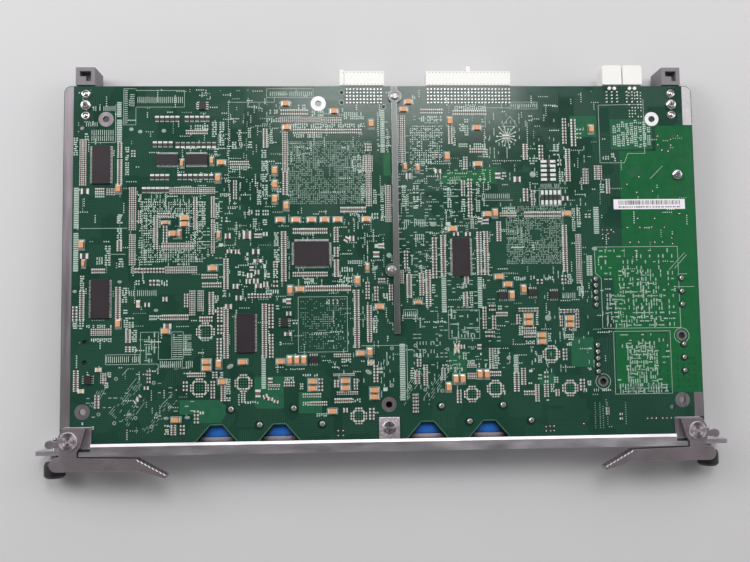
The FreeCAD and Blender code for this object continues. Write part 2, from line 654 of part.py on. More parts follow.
def circuit_board():
    """The board with its port notches, rounded rear corners and fixing holes."""
    piece = body("circuit_board", y="edge_y", z="board_under")
    half = "board_width / 2"
    points = [(f"-{half}", "0")]
    for port in PORTS:
        points += [
            (f"{port} - notch_mouth / 2", "0"),
            (f"{port} - notch_top / 2", "notch_depth"),
            (f"{port} + notch_top / 2", "notch_depth"),
            (f"{port} + notch_mouth / 2", "0"),
        ]
    points += [(half, "0"), (half, "board_depth"), (f"-{half}", "board_depth")]
    outline = sketch_on(piece, "XY_Plane")
    draw_outline(outline, points)
    grow(piece, outline, "board_thick")
    depth = value("board_depth")
    width = value(half)
    round_edges(piece, "board_corner", lambda edge: is_upright(edge)
                and (near(edge, width, depth) or near(edge, -width, depth)))
    holes = sketch_on(piece, "XY_Plane")
    for x, y in MOUNTING_HOLES:
        draw_circle(holes, x, y, "hole_radius")
    for x, y in TOOLING_HOLES:
        draw_circle(holes, x, y, "small_hole_radius")
    for side in SIDES:
        draw_circle(holes, f"{side} * pivot_x", "pivot_y - front_gap", "pin_radius + fit_gap")
        fixing = f"{side} * guide_fixing_x"
        for inset in GUIDE_EYELETS:
            draw_circle(holes, fixing, f"board_depth - {inset}", "eyelet_tube + fit_gap")
        draw_circle(holes, fixing, "board_depth - guide_screw_inset", "screw_radius + fit_gap")
    draw_circle(holes, "lone_screw_x", "lone_screw_y - front_gap", "screw_radius + fit_gap")
    draw_circle(holes, "middle_x", "middle_rivet_y - front_gap", "rivet_radius + fit_gap")
    draw_circle(holes, "rear_lug_x", "board_depth - rear_lug_inset", "rivet_radius + fit_gap")
    draw_circle(holes, "front_lug_x", "front_lug_y - front_gap", "rivet_radius + fit_gap")
    for middle in POWER_MIDDLES:
        for shift in ("-0.5", "0.5"):
            peg = f"{middle} + peg_offset + {shift} * peg_pitch"
            draw_circle(holes, peg, "board_depth - peg_inset", "peg_radius + fit_gap")
    sink(piece, holes, "board_thick", along_normal=True)
    return node(piece)


def lever(name, side):
    """A cast lever: flat with claw behind the panel, deep arm and finger tab ahead of it."""
    piece = body(name, f"{side} * pivot_x", "front_y + pivot_y", "lever_under")
    flat = sketch_on(piece, "XY_Plane")
    draw_outline(flat, [
        (f"{side} * lever_out * 0.6", "lever_rear"),
        (f"-{side} * lever_stop_rear", "lever_rear"),
        (f"-{side} * lever_stop_front", "-lever_stop_reach"),
        (f"-{side} * neck_in", "-pivot_y"),
        (f"-{side} * neck_in", "-(arm_rear + arm_depth / 2)"),
        (f"{side} * neck_out", "-(arm_rear + arm_depth / 2)"),
        (f"{side} * neck_out", "-pivot_y"),
        (f"{side} * lever_out", "-(claw_drop + claw_width / 2)"),
        (f"{side} * lever_out", "lever_rear * 0.4"),
    ])
    grow(piece, flat, "lever_plate")
    finger = sketch_on(piece, "XY_Plane")
    draw_rectangle(finger, f"{side} * claw_reach / 2", "-claw_drop", "claw_reach", "claw_width")
    grow(piece, finger, "lever_plate")
    bulb = sketch_on(piece, "XY_Plane")
    draw_circle(bulb, f"{side} * claw_reach", "-claw_drop", "claw_bulb")
    grow(piece, bulb, "lever_plate")
    arm = sketch_on(piece, "XY_Plane", "lever_plate")
    draw_outline(arm, [
        (f"{side} * arm_outer", "-arm_rear"),
        (f"-{side} * arm_inner", "-(arm_rear + arm_taper)"),
        (f"-{side} * arm_inner", "-(arm_rear + arm_depth)"),
        (f"{side} * arm_outer", "-(arm_rear + arm_depth)"),
    ])
    grow(piece, arm, "arm_height", backward=True)
    outer = value(f"{side} * arm_outer")
    ends = [value("-arm_rear"), value("-(arm_rear + arm_depth)")]
    round_edges(piece, "arm_round", lambda edge: is_upright(edge)
                and any(near(edge, outer, end) for end in ends))
    tab = sketch_on(piece, "XY_Plane", "lever_plate")
    draw_outline(tab, finger_tab_points(side))
    grow(piece, tab, "arm_height", backward=True)
    bore = sketch_on(piece, "XY_Plane")
    draw_circle(bore, "0", "0", "pin_radius + fit_gap")
    sink(piece, bore, "lever_plate", along_normal=True)
    return node(piece)


def finger_tab_points(side):
    """Outline of the slanted finger tab, with grip teeth along its rear edge."""
    points = []
    root_y = "-(arm_rear + arm_taper)"
    for tooth in range(TAB_TEETH):
        start = tooth / TAB_TEETH
        dip = (tooth + 0.7) / TAB_TEETH
        points.append((
            f"-{side} * (arm_inner + tab_run * {start})",
            f"{root_y} - tab_drop * {start}",
        ))
        points.append((
            f"-{side} * (arm_inner + tab_run * {dip})",
            f"{root_y} - tab_drop * {dip} - tooth_depth",
        ))
    points += [
        (f"-{side} * (arm_inner + tab_run)", f"{root_y} - tab_drop"),
        (f"-{side} * (arm_inner + tab_run - tab_tip / 2)", f"{root_y} - tab_drop - tab_tip"),
        (f"-{side} * arm_inner", "-(arm_rear + arm_depth)"),
    ]
    return points


def pivot_pin(name, side):
    """A shouldered pin with a wide turned head, riveted through bracket, board and block."""
    piece = body(name, f"{side} * pivot_x", "front_y + pivot_y")
    turn(piece, [
        ("0", "board_top - pin_tail"),
        ("pin_radius", "board_top - pin_tail"),
        ("pin_radius", "lever_top + head_gap"),
        ("pin_head_radius", "lever_top + head_gap"),
        ("pin_head_radius", "lever_top + head_gap + pin_head * 0.4"),
        ("pin_head_radius - pin_head", "lever_top + head_gap + pin_head"),
        ("0", "lever_top + head_gap + pin_head"),
    ])
    return node(piece)


def corner_bracket(name, side):
    """A flat plate on the solder face under a lever."""
    piece = body(name, y="front_y", z="board_top")
    plate = sketch_on(piece, "XY_Plane")
    chamfer = "bracket_thick * 2"
    draw_outline(plate, [
        (f"{side} * bracket_inner", "bracket_front"),
        (f"{side} * bracket_outer", "bracket_front"),
        (f"{side} * bracket_outer", f"bracket_rear - {chamfer}"),
        (f"{side} * (bracket_outer - {chamfer})", "bracket_rear"),
        (f"{side} * bracket_inner", "bracket_rear"),
    ])
    grow(piece, plate, "bracket_thick")
    hole = sketch_on(piece, "XY_Plane")
    draw_circle(hole, f"{side} * pivot_x", "pivot_y", "pin_radius + fit_gap")
    sink(piece, hole, "bracket_thick", along_normal=True)
    return node(piece)


def corner_block(name, side):
    """A block under the board's front corner that the panel and the pivot pin fasten to."""
    piece = body(name, y="front_y", z="board_under - block_height")
    block = sketch_on(piece, "XY_Plane")
    width = "bracket_outer - bracket_inner"
    draw_rectangle(
        block, f"{side} * (bracket_inner + bracket_outer) / 2", "bracket_rear / 2", width, "bracket_rear")
    grow(piece, block, "block_height")
    pin_hole = sketch_on(piece, "XY_Plane", "block_height")
    draw_circle(pin_hole, f"{side} * pivot_x", "pivot_y", "pin_radius + fit_gap")
    sink(piece, pin_hole, "pin_tail - board_thick + fit_gap")
    screw_hole = sketch_on(piece, "XZ_Plane")
    level = "panel_screw_height - board_under + block_height"
    draw_circle(screw_hole, f"{side} * panel_screw_x", level, "screw_radius + fit_gap")
    sink(piece, screw_hole, "panel_screw_length - panel_thick + fit_gap")
    return node(piece)


def panel_screws():
    """Countersunk screws through the plate into the corner blocks."""
    screws = []
    for side in SIDES:
        x = f"{side} * panel_screw_x"
        piece = body("panel_screw", x, "front_y - panel_thick", "panel_screw_height")
        piece.Placement.Rotation = AXIS_TO_REAR
        turn(piece, [
            ("0", "0"),
            ("screw_head_radius", "0"),
            ("screw_radius", "screw_sink"),
            ("screw_radius", "panel_screw_length"),
            ("0", "panel_screw_length"),
        ])
        screws.append(piece)
    return group("panel_screws", screws)


def middle_bracket():
    """An angle that ties the board's front edge to the panel between the port pairs."""
    piece = body("middle_bracket", "middle_x", "front_y", "board_top")
    foot = sketch_on(piece, "YZ_Plane")
    rise = "panel_height - leg_thick - board_top"
    draw_outline(foot, [
        ("0", "0"),
        ("middle_rear", "0"),
        ("middle_rear", "bracket_thick"),
        ("bracket_thick", "bracket_thick"),
        ("bracket_thick", rise),
        ("0", rise),
    ])
    grow_both_ways(piece, foot, "middle_width")
    hole = sketch_on(piece, "XY_Plane")
    draw_circle(hole, "0", "middle_rivet_y", "rivet_radius + fit_gap")
    sink(piece, hole, "bracket_thick", along_normal=True)
    return node(piece)


def middle_rivet():
    """A rivet with a wide turned head through the middle bracket and the board."""
    piece = body("middle_rivet", "middle_x", "front_y + middle_rivet_y", "board_top")
    head = "bracket_thick + rivet_head"
    turn(piece, [
        ("0", "-(board_thick + rivet_head)"),
        ("rivet_radius * 1.6", "-(board_thick + rivet_head)"),
        ("rivet_radius * 1.6", "-board_thick"),
        ("rivet_radius", "-board_thick"),
        ("rivet_radius", "bracket_thick"),
        ("middle_head_radius", "bracket_thick"),
        ("middle_head_radius", "bracket_thick + rivet_head * 0.5"),
        ("middle_head_radius - rivet_head", head),
        ("0", head),
    ])
    return node(piece)


def captive_ferrules():
    """Bushes pressed into the plate's ends that hold the captive screws."""
    rings = []
    for side in SIDES:
        piece = body("captive_ferrule", f"{side} * captive_x", "front_y", "captive_height")
        piece.Placement.Rotation = AXIS_TO_FRONT
        turn(piece, [
            ("captive_neck + fit_gap", "0"),
            ("ferrule_outer", "0"),
            ("ferrule_outer", "panel_thick + ferrule_proud"),
            ("captive_neck + fit_gap", "panel_thick + ferrule_proud"),
        ])
        rings.append(piece)
    return group("captive_ferrules", rings)


def captive_screw(name, side):
    """The steel screw inside a knob: a neck through the ferrule and a threaded end behind it."""
    piece = body(name, f"{side} * captive_x", "front_y", "captive_height")
    piece.Placement.Rotation = AXIS_TO_FRONT
    turn(piece, [
        ("0", "-captive_rear"),
        ("captive_radius * 0.6", "-captive_rear"),
        ("captive_radius", "-(captive_rear - captive_radius * 0.6)"),
        ("captive_radius", "-captive_step"),
        ("captive_neck", "-captive_step"),
        ("captive_neck", "panel_thick + captive_inside"),
        ("0", "panel_thick + captive_inside"),
    ])
    return node(piece)


def captive_knob(name, side):
    """A waisted plastic knob with a driver slot across its front."""
    piece = body(name, f"{side} * captive_x", "front_y - panel_thick", "captive_height")
    piece.Placement.Rotation = AXIS_TO_FRONT
    turn(piece, [
        ("captive_neck", "knob_gap"),
        ("knob_waist", "knob_gap"),
        ("knob_radius", "knob_gap + knob_flare"),
        ("knob_radius", "knob_length - knob_round"),
        ("knob_radius - knob_round", "knob_length"),
        ("0", "knob_length"),
        ("0", "captive_inside"),
        ("captive_neck", "captive_inside"),
    ])
    slot = sketch_on(piece, "XY_Plane", "knob_length")
    draw_rectangle(slot, "0", "0", "knob_radius * 1.1", "knob_slot")
    sink(piece, slot, "knob_slot_depth")
    return node(piece)


def stiffener_bar():
    """A narrow bar along the solder face with two round lugs."""
    piece = body("stiffener_bar", y="front_y", z="board_top")
    bar = sketch_on(piece, "XY_Plane")
    bar_rear = "front_gap + board_depth - bar_rear_inset"
    draw_outline(bar, [
        ("bar_x - bar_width / 2", "bar_front"),
        ("bar_x + bar_width / 2", "bar_front"),
        ("bar_x + bar_width / 2", bar_rear),
        ("bar_x - bar_width / 2", bar_rear),
    ])
    grow(piece, bar, "bar_height")
    for x, y in LUGS:
        lug = sketch_on(piece, "XY_Plane")
        draw_circle(lug, x, y, "lug_radius")
        grow(piece, lug, "bar_height")
    holes = sketch_on(piece, "XY_Plane")
    for x, y in LUGS:
        draw_circle(holes, x, y, "rivet_radius + fit_gap")
    sink(piece, holes, "bar_height", along_normal=True)
    return node(piece)


def stiffener_rivets():
    """Rivets through the lugs of the stiffener bar and the board."""
    rivets = []
    for x, y in LUGS:
        piece = body("stiffener_rivet", x, f"front_y + {y}", "board_top")
        turn(piece, [
            ("0", "-(board_thick + rivet_head)"),
            ("bar_head_radius", "-(board_thick + rivet_head)"),
            ("bar_head_radius", "-board_thick"),
            ("rivet_radius", "-board_thick"),
            ("rivet_radius", "bar_height"),
            ("bar_head_radius", "bar_height"),
            ("bar_head_radius * 0.6", "bar_height + rivet_head"),
            ("0", "bar_height + rivet_head"),
        ])
        rivets.append(piece)
    return group("stiffener_rivets", rivets)


def guide_block(name, side):
    """A moulded block at a rear corner with a bore for the backplane's guide pin."""
    piece = body(name, f"{side} * guide_x", "rear_y")
    profile = sketch_on(piece, "YZ_Plane")
    draw_outline(profile, [
        ("-guide_foot", "board_under - guide_foot_height"),
        ("guide_rear_gap", "guide_under"),
        ("guide_reach", "guide_under"),
        ("guide_reach", "board_top"),
        ("guide_rear_gap", "board_top"),
        ("guide_rear_gap", "board_under"),
        ("-guide_foot", "board_under"),
    ])
    grow_both_ways(piece, profile, "guide_width")
    pocket = sketch_on(piece, "XY_Plane", "board_top")
    low = "(guide_rear_gap + guide_reach - guide_pocket_y) / 2"
    left = "-guide_pocket_x / 2"
    draw_outline(pocket, [
        (f"{left} + guide_corner_x", low),
        ("guide_pocket_x / 2", low),
        ("guide_pocket_x / 2", f"{low} + guide_pocket_y"),
        (left, f"{low} + guide_pocket_y"),
        (left, f"{low} + guide_corner_y"),
        (f"{left} + guide_corner_x", f"{low} + guide_corner_y"),
    ])
    sink(piece, pocket, "guide_pocket_depth")
    bore = sketch_on(piece, "XZ_Plane", "-guide_reach")
    draw_circle(bore, "0", "guide_bore_height", "guide_bore")
    sink(piece, bore, "guide_bore_depth", along_normal=True)
    mouth = sketch_on(piece, "XZ_Plane", "-guide_reach")
    draw_circle(mouth, "0", "guide_bore_height", "guide_bore + guide_lead_in")
    lead_in = sink(piece, mouth, "guide_lead_in", along_normal=True)
    lead_in.TaperAngle = -45
    holes = sketch_on(piece, "XY_Plane", "board_under")
    fixing = f"-{side} * guide_fixing_in"
    for inset in GUIDE_EYELETS:
        draw_circle(holes, fixing, f"-{inset}", "eyelet_tube + fit_gap")
    draw_circle(holes, fixing, "-guide_screw_inset", "screw_radius + fit_gap")
    sink(piece, holes, "pan_screw_length - board_thick + fit_gap")
    return node(piece)


def rolled(outer, inner, rise):
    """Radius and height pairs over a rolled rim, from its outside to its inside."""
    middle = f"(({outer}) + ({inner})) / 2"
    half = f"(({outer}) - ({inner})) / 2"
    return [
        (f"{middle} + {half} * cos({180 * step / ROLL_STEPS})", f"({rise}) * sin({180 * step / ROLL_STEPS})")
        for step in range(ROLL_STEPS + 1)
    ]


def guide_eyelets():
    """Tubular eyelets with rolled flanges that hold the guide blocks to the board."""
    eyelets = []
    for side in SIDES:
        for inset in GUIDE_EYELETS:
            piece = body("guide_eyelet", f"{side} * guide_fixing_x", f"rear_y - {inset}", "board_top")
            turn(piece, [
                ("eyelet_bore", "-eyelet_depth"),
                ("eyelet_tube", "-eyelet_depth"),
                ("eyelet_tube", "0"),
            ] + rolled("eyelet_flange", "eyelet_bore", "eyelet_rise"))
            eyelets.append(piece)
    return group("guide_eyelets", eyelets)


def board_screws():
    """Pan head screws in the guide blocks and the lone one beside the power section."""
    screws = []
    for x, y in BOARD_SCREWS:
        piece = body("board_screw", x, y, "board_top")
        turn(piece, [
            ("0", "-pan_screw_length"),
            ("screw_radius", "-pan_screw_length"),
            ("screw_radius", "0"),
            ("pan_head_radius", "0"),
            ("pan_head_radius", "pan_head * 0.35"),
            ("pan_head_radius * 0.93", "pan_head * 0.65"),
            ("pan_head_radius * 0.78", "pan_head * 0.87"),
            ("pan_head_radius * 0.55", "pan_head"),
            ("0", "pan_head"),
        ])
        screws.append(piece)
    return group("board_screws", screws)


def board_nut():
    """The hexagon nut of the lone screw under the board."""
    piece = body("board_nut", "lone_screw_x", "front_y + lone_screw_y", "board_under")
    hexagon = sketch_on(piece, "XY_Plane")
    draw_outline(hexagon, [
        (f"nut_radius * cos({60 * step})", f"nut_radius * sin({60 * step})") for step in range(6)
    ])
    grow(piece, hexagon, "nut_height", backward=True)
    hole = sketch_on(piece, "XY_Plane")
    draw_circle(hole, "0", "0", "screw_radius + fit_gap")
    sink(piece, hole, "nut_height")
    return node(piece)


def signal_connector(name, left, width, key_left, key_reach, banks):
    """A backplane connector under the board's rear edge with rows of contact openings."""
    piece = body(name, left, "rear_y", "signal_under")
    profile = sketch_on(piece, "YZ_Plane")
    step = "board_under - signal_under"
    draw_outline(profile, [
        ("-signal_foot", "0"),
        ("signal_reach", "0"),
        ("signal_reach", "signal_height"),
        ("signal_gap", "signal_height"),
        ("signal_gap", step),
        ("-signal_foot", step),
    ])
    grow(piece, profile, width)
    key = sketch_on(piece, "XZ_Plane", "-signal_reach")
    middle = f"{key_left} + key_width / 2"
    draw_rectangle(key, middle, "signal_height / 2", "key_width", "signal_height")
    grow(piece, key, key_reach, backward=True)
    for first, columns in banks:
        opening = sketch_on(piece, "XZ_Plane", "-signal_reach")
        draw_rectangle(opening, first, "contact_first_row", "contact_open", "contact_open")
        pocket = sink(piece, opening, "contact_depth", along_normal=True)
        repeat(piece, pocket, opening, columns, "contact_pitch", "contact_rows", "contact_pitch")
    return node(piece)


def press_fit_tails(name, first_x, columns):
    """Rows of contact tails that stand out of the solder face."""
    piece = body(name, first_x, "rear_y - tail_first_inset", "board_top")
    tail = sketch_on(piece, "XY_Plane")
    draw_rectangle(tail, "0", "0", "tail_size", "tail_size")
    pad = grow(piece, tail, "tail_rise")
    repeat(piece, pad, tail, columns, "contact_pitch", "contact_rows", "contact_pitch", down=True)
    return node(piece)


def power_connector(name, middle):
    """A power connector with blade slots, and two pegs through the board."""
    piece = body(name, middle, "rear_y")
    profile = sketch_on(piece, "YZ_Plane")
    draw_outline(profile, [
        ("-power_foot", "power_under"),
        ("power_reach", "power_under"),
        ("power_reach", "board_top"),
        ("power_rear_gap", "board_top"),
        ("power_rear_gap", "board_under"),
        ("-power_foot", "board_under"),
    ])
    grow_both_ways(piece, profile, "power_width")
    rear = value("power_reach")
    half = value("power_width / 2")
    round_edges(piece, "power_round", lambda edge: is_upright(edge)
                and (near(edge, half, rear) or near(edge, -half, rear)))
    slot = sketch_on(piece, "XZ_Plane", "-power_reach")
    middle_height = "(power_under + board_top) / 2"
    draw_rectangle(slot, "-power_slot_pitch", middle_height, "power_slot", "power_slot_height")
    pocket = sink(piece, slot, "power_slot_depth", along_normal=True)
    repeat(piece, pocket, slot, "3", "power_slot_pitch")
    pegs = sketch_on(piece, "XY_Plane", "board_under")
    for shift in ("-0.5", "0.5"):
        draw_circle(pegs, f"peg_offset + {shift} * peg_pitch", "-peg_inset", "peg_radius")
    grow(piece, pegs, "board_thick + peg_rise")
    return node(piece)


def power_tails():
    """The contact tails of both power connectors."""
    banks = []
    for middle in POWER_MIDDLES:
        first = f"{middle} + power_tail_offset - power_tail_pitch"
        piece = body("power_tail_bank", first, "rear_y - power_tail_inset", "board_top")
        tail = sketch_on(piece, "XY_Plane")
        draw_rectangle(tail, "0", "0", "tail_size", "tail_size")
        pad = grow(piece, tail, "tail_rise")
        repeat(piece, pad, tail, "3", "power_tail_pitch", "4", "contact_pitch", down=True)
        banks.append(piece)
    return group("power_tails", banks)


def optical_module(name, port):
    """The metal can behind a receptacle, against the underside of the board."""
    piece = body(name, port, "front_y + receptacle_rear", "board_under")
    can = sketch_on(piece, "XZ_Plane")
    draw_rectangle(can, "0", "-module_height / 2", "module_width", "module_height")
    grow(piece, can, "module_length", backward=True)
    low = value("-module_height")
    round_edges(piece, "module_edge", lambda edge: abs(edge.CenterOfMass.z - low) < 0.01
                or abs(edge.CenterOfMass.y) > value("module_length") - 0.01 and is_upright(edge))
    return node(piece)


def port_shell(name, port):
    """A shield ring between the plate and the receptacle's body, round the nose."""
    piece = body(name, port, "front_y", "port_height")
    ring = sketch_on(piece, "XZ_Plane")
    draw_rectangle(ring, "0", "0", "shell_width", "shell_height")
    draw_rectangle(ring, "0", "0", "nose_width + port_gap * 2", "nose_height + port_gap * 2")
    grow(piece, ring, "shell_depth", backward=True)
    return node(piece)


def fibre_receptacle(name, port):
    """A plug receptacle: nose through the panel, body behind it, sleeve inside."""
    piece = body(name, port, "front_y", "port_height")
    shoulder = sketch_on(piece, "XZ_Plane", "-shell_depth")
    draw_rectangle(shoulder, "0", "0", "receptacle_width", "receptacle_height")
    grow(piece, shoulder, "receptacle_length", backward=True)
    nose = sketch_on(piece, "XZ_Plane", "-shell_depth")
    draw_rectangle(nose, "0", "0", "nose_width", "nose_height")
    grow(piece, nose, "shell_depth + panel_thick + nose_proud")
    opening = sketch_on(piece, "XZ_Plane", "panel_thick + nose_proud")
    draw_rectangle(opening, "0", "0", "plug_width", "plug_height")
    sink(piece, opening, "plug_depth")
    key = sketch_on(piece, "XZ_Plane", "panel_thick + nose_proud")
    draw_rectangle(key, "0", "plug_height / 2", "plug_key_width", "plug_key_rise * 2")
    sink(piece, key, "plug_depth")
    back = "panel_thick + nose_proud - plug_depth"
    sleeve = sketch_on(piece, "XZ_Plane", back)
    draw_circle(sleeve, "0", "0", "sleeve_radius")
    draw_circle(sleeve, "0", "0", "ferrule_radius")
    grow(piece, sleeve, "sleeve_length")
    return node(piece)


def light_guides():
    """Clear rods that carry the lamps' light to the panel, each with a foot on the board."""
    rods = []
    lamps = [f"{port} + lamp_offset" for port in PORTS] + STATUS_LAMPS
    for lamp in lamps:
        piece = body("light_guide", lamp, "front_y", "port_height")
        rod = sketch_on(piece, "XZ_Plane", "panel_thick + lamp_proud")
        draw_circle(rod, "0", "0", "lamp_radius")
        grow(piece, rod, "panel_thick + lamp_proud + lamp_foot_front", backward=True)
        foot = sketch_on(piece, "XZ_Plane", "-lamp_foot_front")
        height = "board_under - port_height + lamp_radius"
        draw_rectangle(foot, "0", f"({height}) / 2 - lamp_radius", "lamp_block", height)
        grow(piece, foot, "lamp_foot_length", backward=True)
        rods.append(piece)
    return group("light_guides", rods)


def chip(name, x, y, across, along, height):
    """A moulded chip body with drafted sides above and below its middle."""
    level = f"board_top + chip_stand + {height} / 2"
    piece = body(name, x, f"front_y + {y}", level)
    for downward in (False, True):
        outline = sketch_on(piece, "XY_Plane")
        draw_rectangle(outline, "0", "0", across, along)
        grow(piece, outline, f"{height} / 2", backward=downward, draft="chip_draft")
    return piece


def chips():
    """All moulded chips of the solder side, grouped by kind."""
    memory = [
        chip("memory_chip", x, y, "memory_width", "memory_length", "chip_height")
        for x, y in MEMORY_PLACES
    ]
    drivers = [
        chip("driver_chip", x, y, "driver_length", "driver_width", "chip_height")
        for x, y in DRIVER_PLACES
    ]
    small = [
        chip("small_chip", x, y, "small_chip_length", "small_chip_width", "chip_height")
        for x, y in SMALL_CHIPS_ALONG_X
    ]
    small += [
        chip("small_chip", x, y, "small_chip_width", "small_chip_length", "chip_height")
        for x, y in SMALL_CHIPS_ALONG_Y
    ]
    group("memory_chips", memory)
    group("driver_chips", drivers)
    group("small_chips", small)
    x, y = FLAT_PACK_PLACE
    size = ("flat_pack_length", "flat_pack_width", "flat_pack_height")
    node(chip("flat_pack_chip", x, y, *size))


def capacitor(x, y, across, along):
    box = doc.addObject("Part::Box", "chip_capacitor")
    bind(box, Length=across, Width=along, Height="capacitor_height")
    place(box, f"{x} - {across} / 2", f"front_y + {y} - {along} / 2", "board_top")
    return box


def chip_capacitors():
    """Moulded capacitors of the solder side."""
    boxes = []
    for long, wide, along_x, along_y in (
        ("capacitor_length", "capacitor_width", CAPACITORS_ALONG_X, CAPACITORS_ALONG_Y),
        ("small_capacitor_length", "small_capacitor_width", SMALL_CAPACITORS_ALONG_X, SMALL_CAPACITORS_ALONG_Y),
    ):
        boxes += [capacitor(x, y, long, wide) for x, y in along_x]
        boxes += [capacitor(x, y, wide, long) for x, y in along_y]
    return group("chip_capacitors", boxes)


def ball_array(x, y, size):
    """A package under the board: ball field, substrate and lid."""
    piece = body("ball_array", x, f"front_y + {y}", "board_under")
    layers = [
        ("0", "array_balls", "array_border / 2"),
        ("array_balls", "array_height - array_step - array_balls", "0"),
        ("array_height - array_step", "array_step", "array_border"),
    ]
    for depth, thickness, inset in layers:
        outline = sketch_on(piece, "XY_Plane", f"-({depth})")
        draw_rectangle(outline, "0", "0", f"{size} - {inset} * 2", f"{size} - {inset} * 2")
        grow(piece, outline, thickness, backward=True)
    return piece


def ball_arrays():
    """The processor and switching packages of the component side."""
    packages = [ball_array(x, y, "array_large") for x, y in LARGE_ARRAY_PLACES]
    x, y = SMALL_ARRAY_PLACE
    packages.append(ball_array(x, y, "array_small"))
    return group("ball_arrays", packages)


def heat_sink(x, y):
    """A finned sink on the lid of a large package."""
    piece = body("heat_sink", x, f"front_y + {y}", "board_under - array_height")
    base = sketch_on(piece, "XY_Plane")
    draw_rectangle(base, "0", "0", "array_large", "array_large")
    grow(piece, base, "sink_base", backward=True)
    fin = sketch_on(piece, "XY_Plane", "-sink_base")
    first = "-(array_large - sink_fin) / 2"
    draw_rectangle(fin, first, "0", "sink_fin", "array_large")
    pad = grow(piece, fin, "sink_height - sink_base", backward=True)
    pitch = "(array_large - sink_fin) / (sink_fin_count - 1)"
    repeat(piece, pad, fin, "sink_fin_count", pitch)
    return piece


def heat_sinks():
    """The sinks of the large packages."""
    return group("heat_sinks", [heat_sink(x, y) for x, y in LARGE_ARRAY_PLACES])


def power_module(name, y):
    """An open converter brick: inner board, magnetic core, base plate and pins."""
    piece = body(name, "brick_x", f"front_y + {y}", "board_under - brick_stand")
    inner_board = sketch_on(piece, "XY_Plane")
    draw_rectangle(inner_board, "0", "0", "brick_length", "brick_width")
    grow(piece, inner_board, "brick_board", backward=True)
    core = sketch_on(piece, "XY_Plane", "-brick_board")
    draw_rectangle(core, "0", "0", "brick_core", "brick_width - brick_wall * 2")
    for end in ("-0.5", "0.5"):
        coil = f"{end} * (brick_length - brick_core - brick_wall * 4)"
        draw_rectangle(core, coil, "0", "brick_core", "brick_core")
    grow(piece, core, "brick_height - brick_board - brick_plate", backward=True)
    plate = sketch_on(piece, "XY_Plane", "-(brick_height - brick_plate)")
    draw_rectangle(plate, "0", "0", "brick_length", "brick_width")
    grow(piece, plate, "brick_plate", backward=True)
    pins = sketch_on(piece, "XY_Plane")
    for x, pin_y in BRICK_PINS:
        draw_circle(pins, x, pin_y, "brick_pin")
    grow(piece, pins, "brick_stand")
    return node(piece)


def solder_joint(x, y, radius):
    """A joint round a pin end on the solder face."""
    cone = doc.addObject("Part::Cone", "solder_joint")
    bind(cone, Radius1=radius, Radius2=f"{radius} * 0.55", Height="joint_rise")
    place(cone, x, f"front_y + {y}", "board_top")
    return cone


def solder_joints():
    """Joints of the converter pins, the optical modules and the light guides."""
    joints = []
    for brick_y in BRICK_MIDDLES:
        for x, pin_y in BRICK_PINS:
            joints.append(solder_joint(f"brick_x + {x}", f"{brick_y} + {pin_y}", "joint_radius"))
    for port in PORTS:
        joints.append(solder_joint(f"{port} + post_x", "post_y", "post_radius"))
        joints.append(solder_joint(f"{port} + lamp_post_x", "lamp_post_y", "post_radius"))
    return group("solder_joints", joints)


def bulk_capacitors():
    """Upright cans under the board beside the power connectors."""
    cans = []
    for index in range(CAN_COUNT):
        can = doc.addObject("Part::Cylinder", "bulk_capacitor")
        bind(can, Radius="can_radius", Height="can_height")
        place(can, f"can_x + can_pitch * {index}", "front_y + can_y", "board_under - can_height")
        cans.append(can)
    return group("bulk_capacitors", cans)


def filter_choke():
    """The wound ring of the input filter under the board."""
    piece = body("filter_choke", "choke_x", "front_y + choke_y", "board_under")
    turn(piece, [
        ("choke_bore", "0"),
        ("choke_radius", "0"),
        ("choke_radius", "-choke_height"),
        ("choke_bore", "-choke_height"),
    ])
    return node(piece)


def build():
    """Makes every piece of the card."""
    front_panel()
    circuit_board()
    for word, side in (("left", LEFT), ("right", RIGHT)):
        lever(f"lever_{word}", side)
        pivot_pin(f"pivot_pin_{word}", side)
        corner_bracket(f"corner_bracket_{word}", side)
        corner_block(f"corner_block_{word}", side)
        captive_screw(f"captive_screw_{word}", side)
        captive_knob(f"captive_knob_{word}", side)
        guide_block(f"guide_block_{word}", side)
    panel_screws()
    captive_ferrules()
    middle_bracket()
    middle_rivet()
    stiffener_bar()
    stiffener_rivets()
    guide_eyelets()
    board_screws()
    board_nut()
    narrow_first = "key_width + contact_key_gap"
    wide_last = "signal_b_width - contact_margin"
    wide_tails = "contact_pitch * (tail_b_columns - 1)"
    narrow = [(narrow_first, "contact_a_columns")]
    wide = [
        ("contact_margin", "contact_b_columns"),
        (f"{wide_last} - contact_pitch * (contact_b_columns - 1)", "contact_b_columns"),
    ]
    signal_connector(
        "signal_connector_a", "signal_a_left", "signal_a_width", "0", "key_a_reach", narrow)
    signal_connector(
        "signal_connector_b", "signal_b_left", "signal_b_width",
        "(signal_b_width - key_width) / 2", "key_b_reach", wide)
    press_fit_tails("signal_tails_a", f"signal_a_left + {narrow_first}", "contact_a_columns")
    press_fit_tails(
        "signal_tails_b", f"signal_b_left + (signal_b_width - {wide_tails}) / 2", "tail_b_columns")
    for index, middle in enumerate(POWER_MIDDLES, start=1):
        power_connector(f"power_connector_{index}", middle)
    power_tails()
    for index, port in enumerate(PORTS, start=1):
        optical_module(f"optical_module_{index}", port)
        port_shell(f"port_shell_{index}", port)
        fibre_receptacle(f"fibre_receptacle_{index}", port)
    light_guides()
    chips()
    chip_capacitors()
    ball_arrays()
    heat_sinks()
    for index, y in enumerate(BRICK_MIDDLES, start=1):
        power_module(f"power_module_{index}", y)
    solder_joints()
    bulk_capacitors()
    filter_choke()
    doc.recompute()


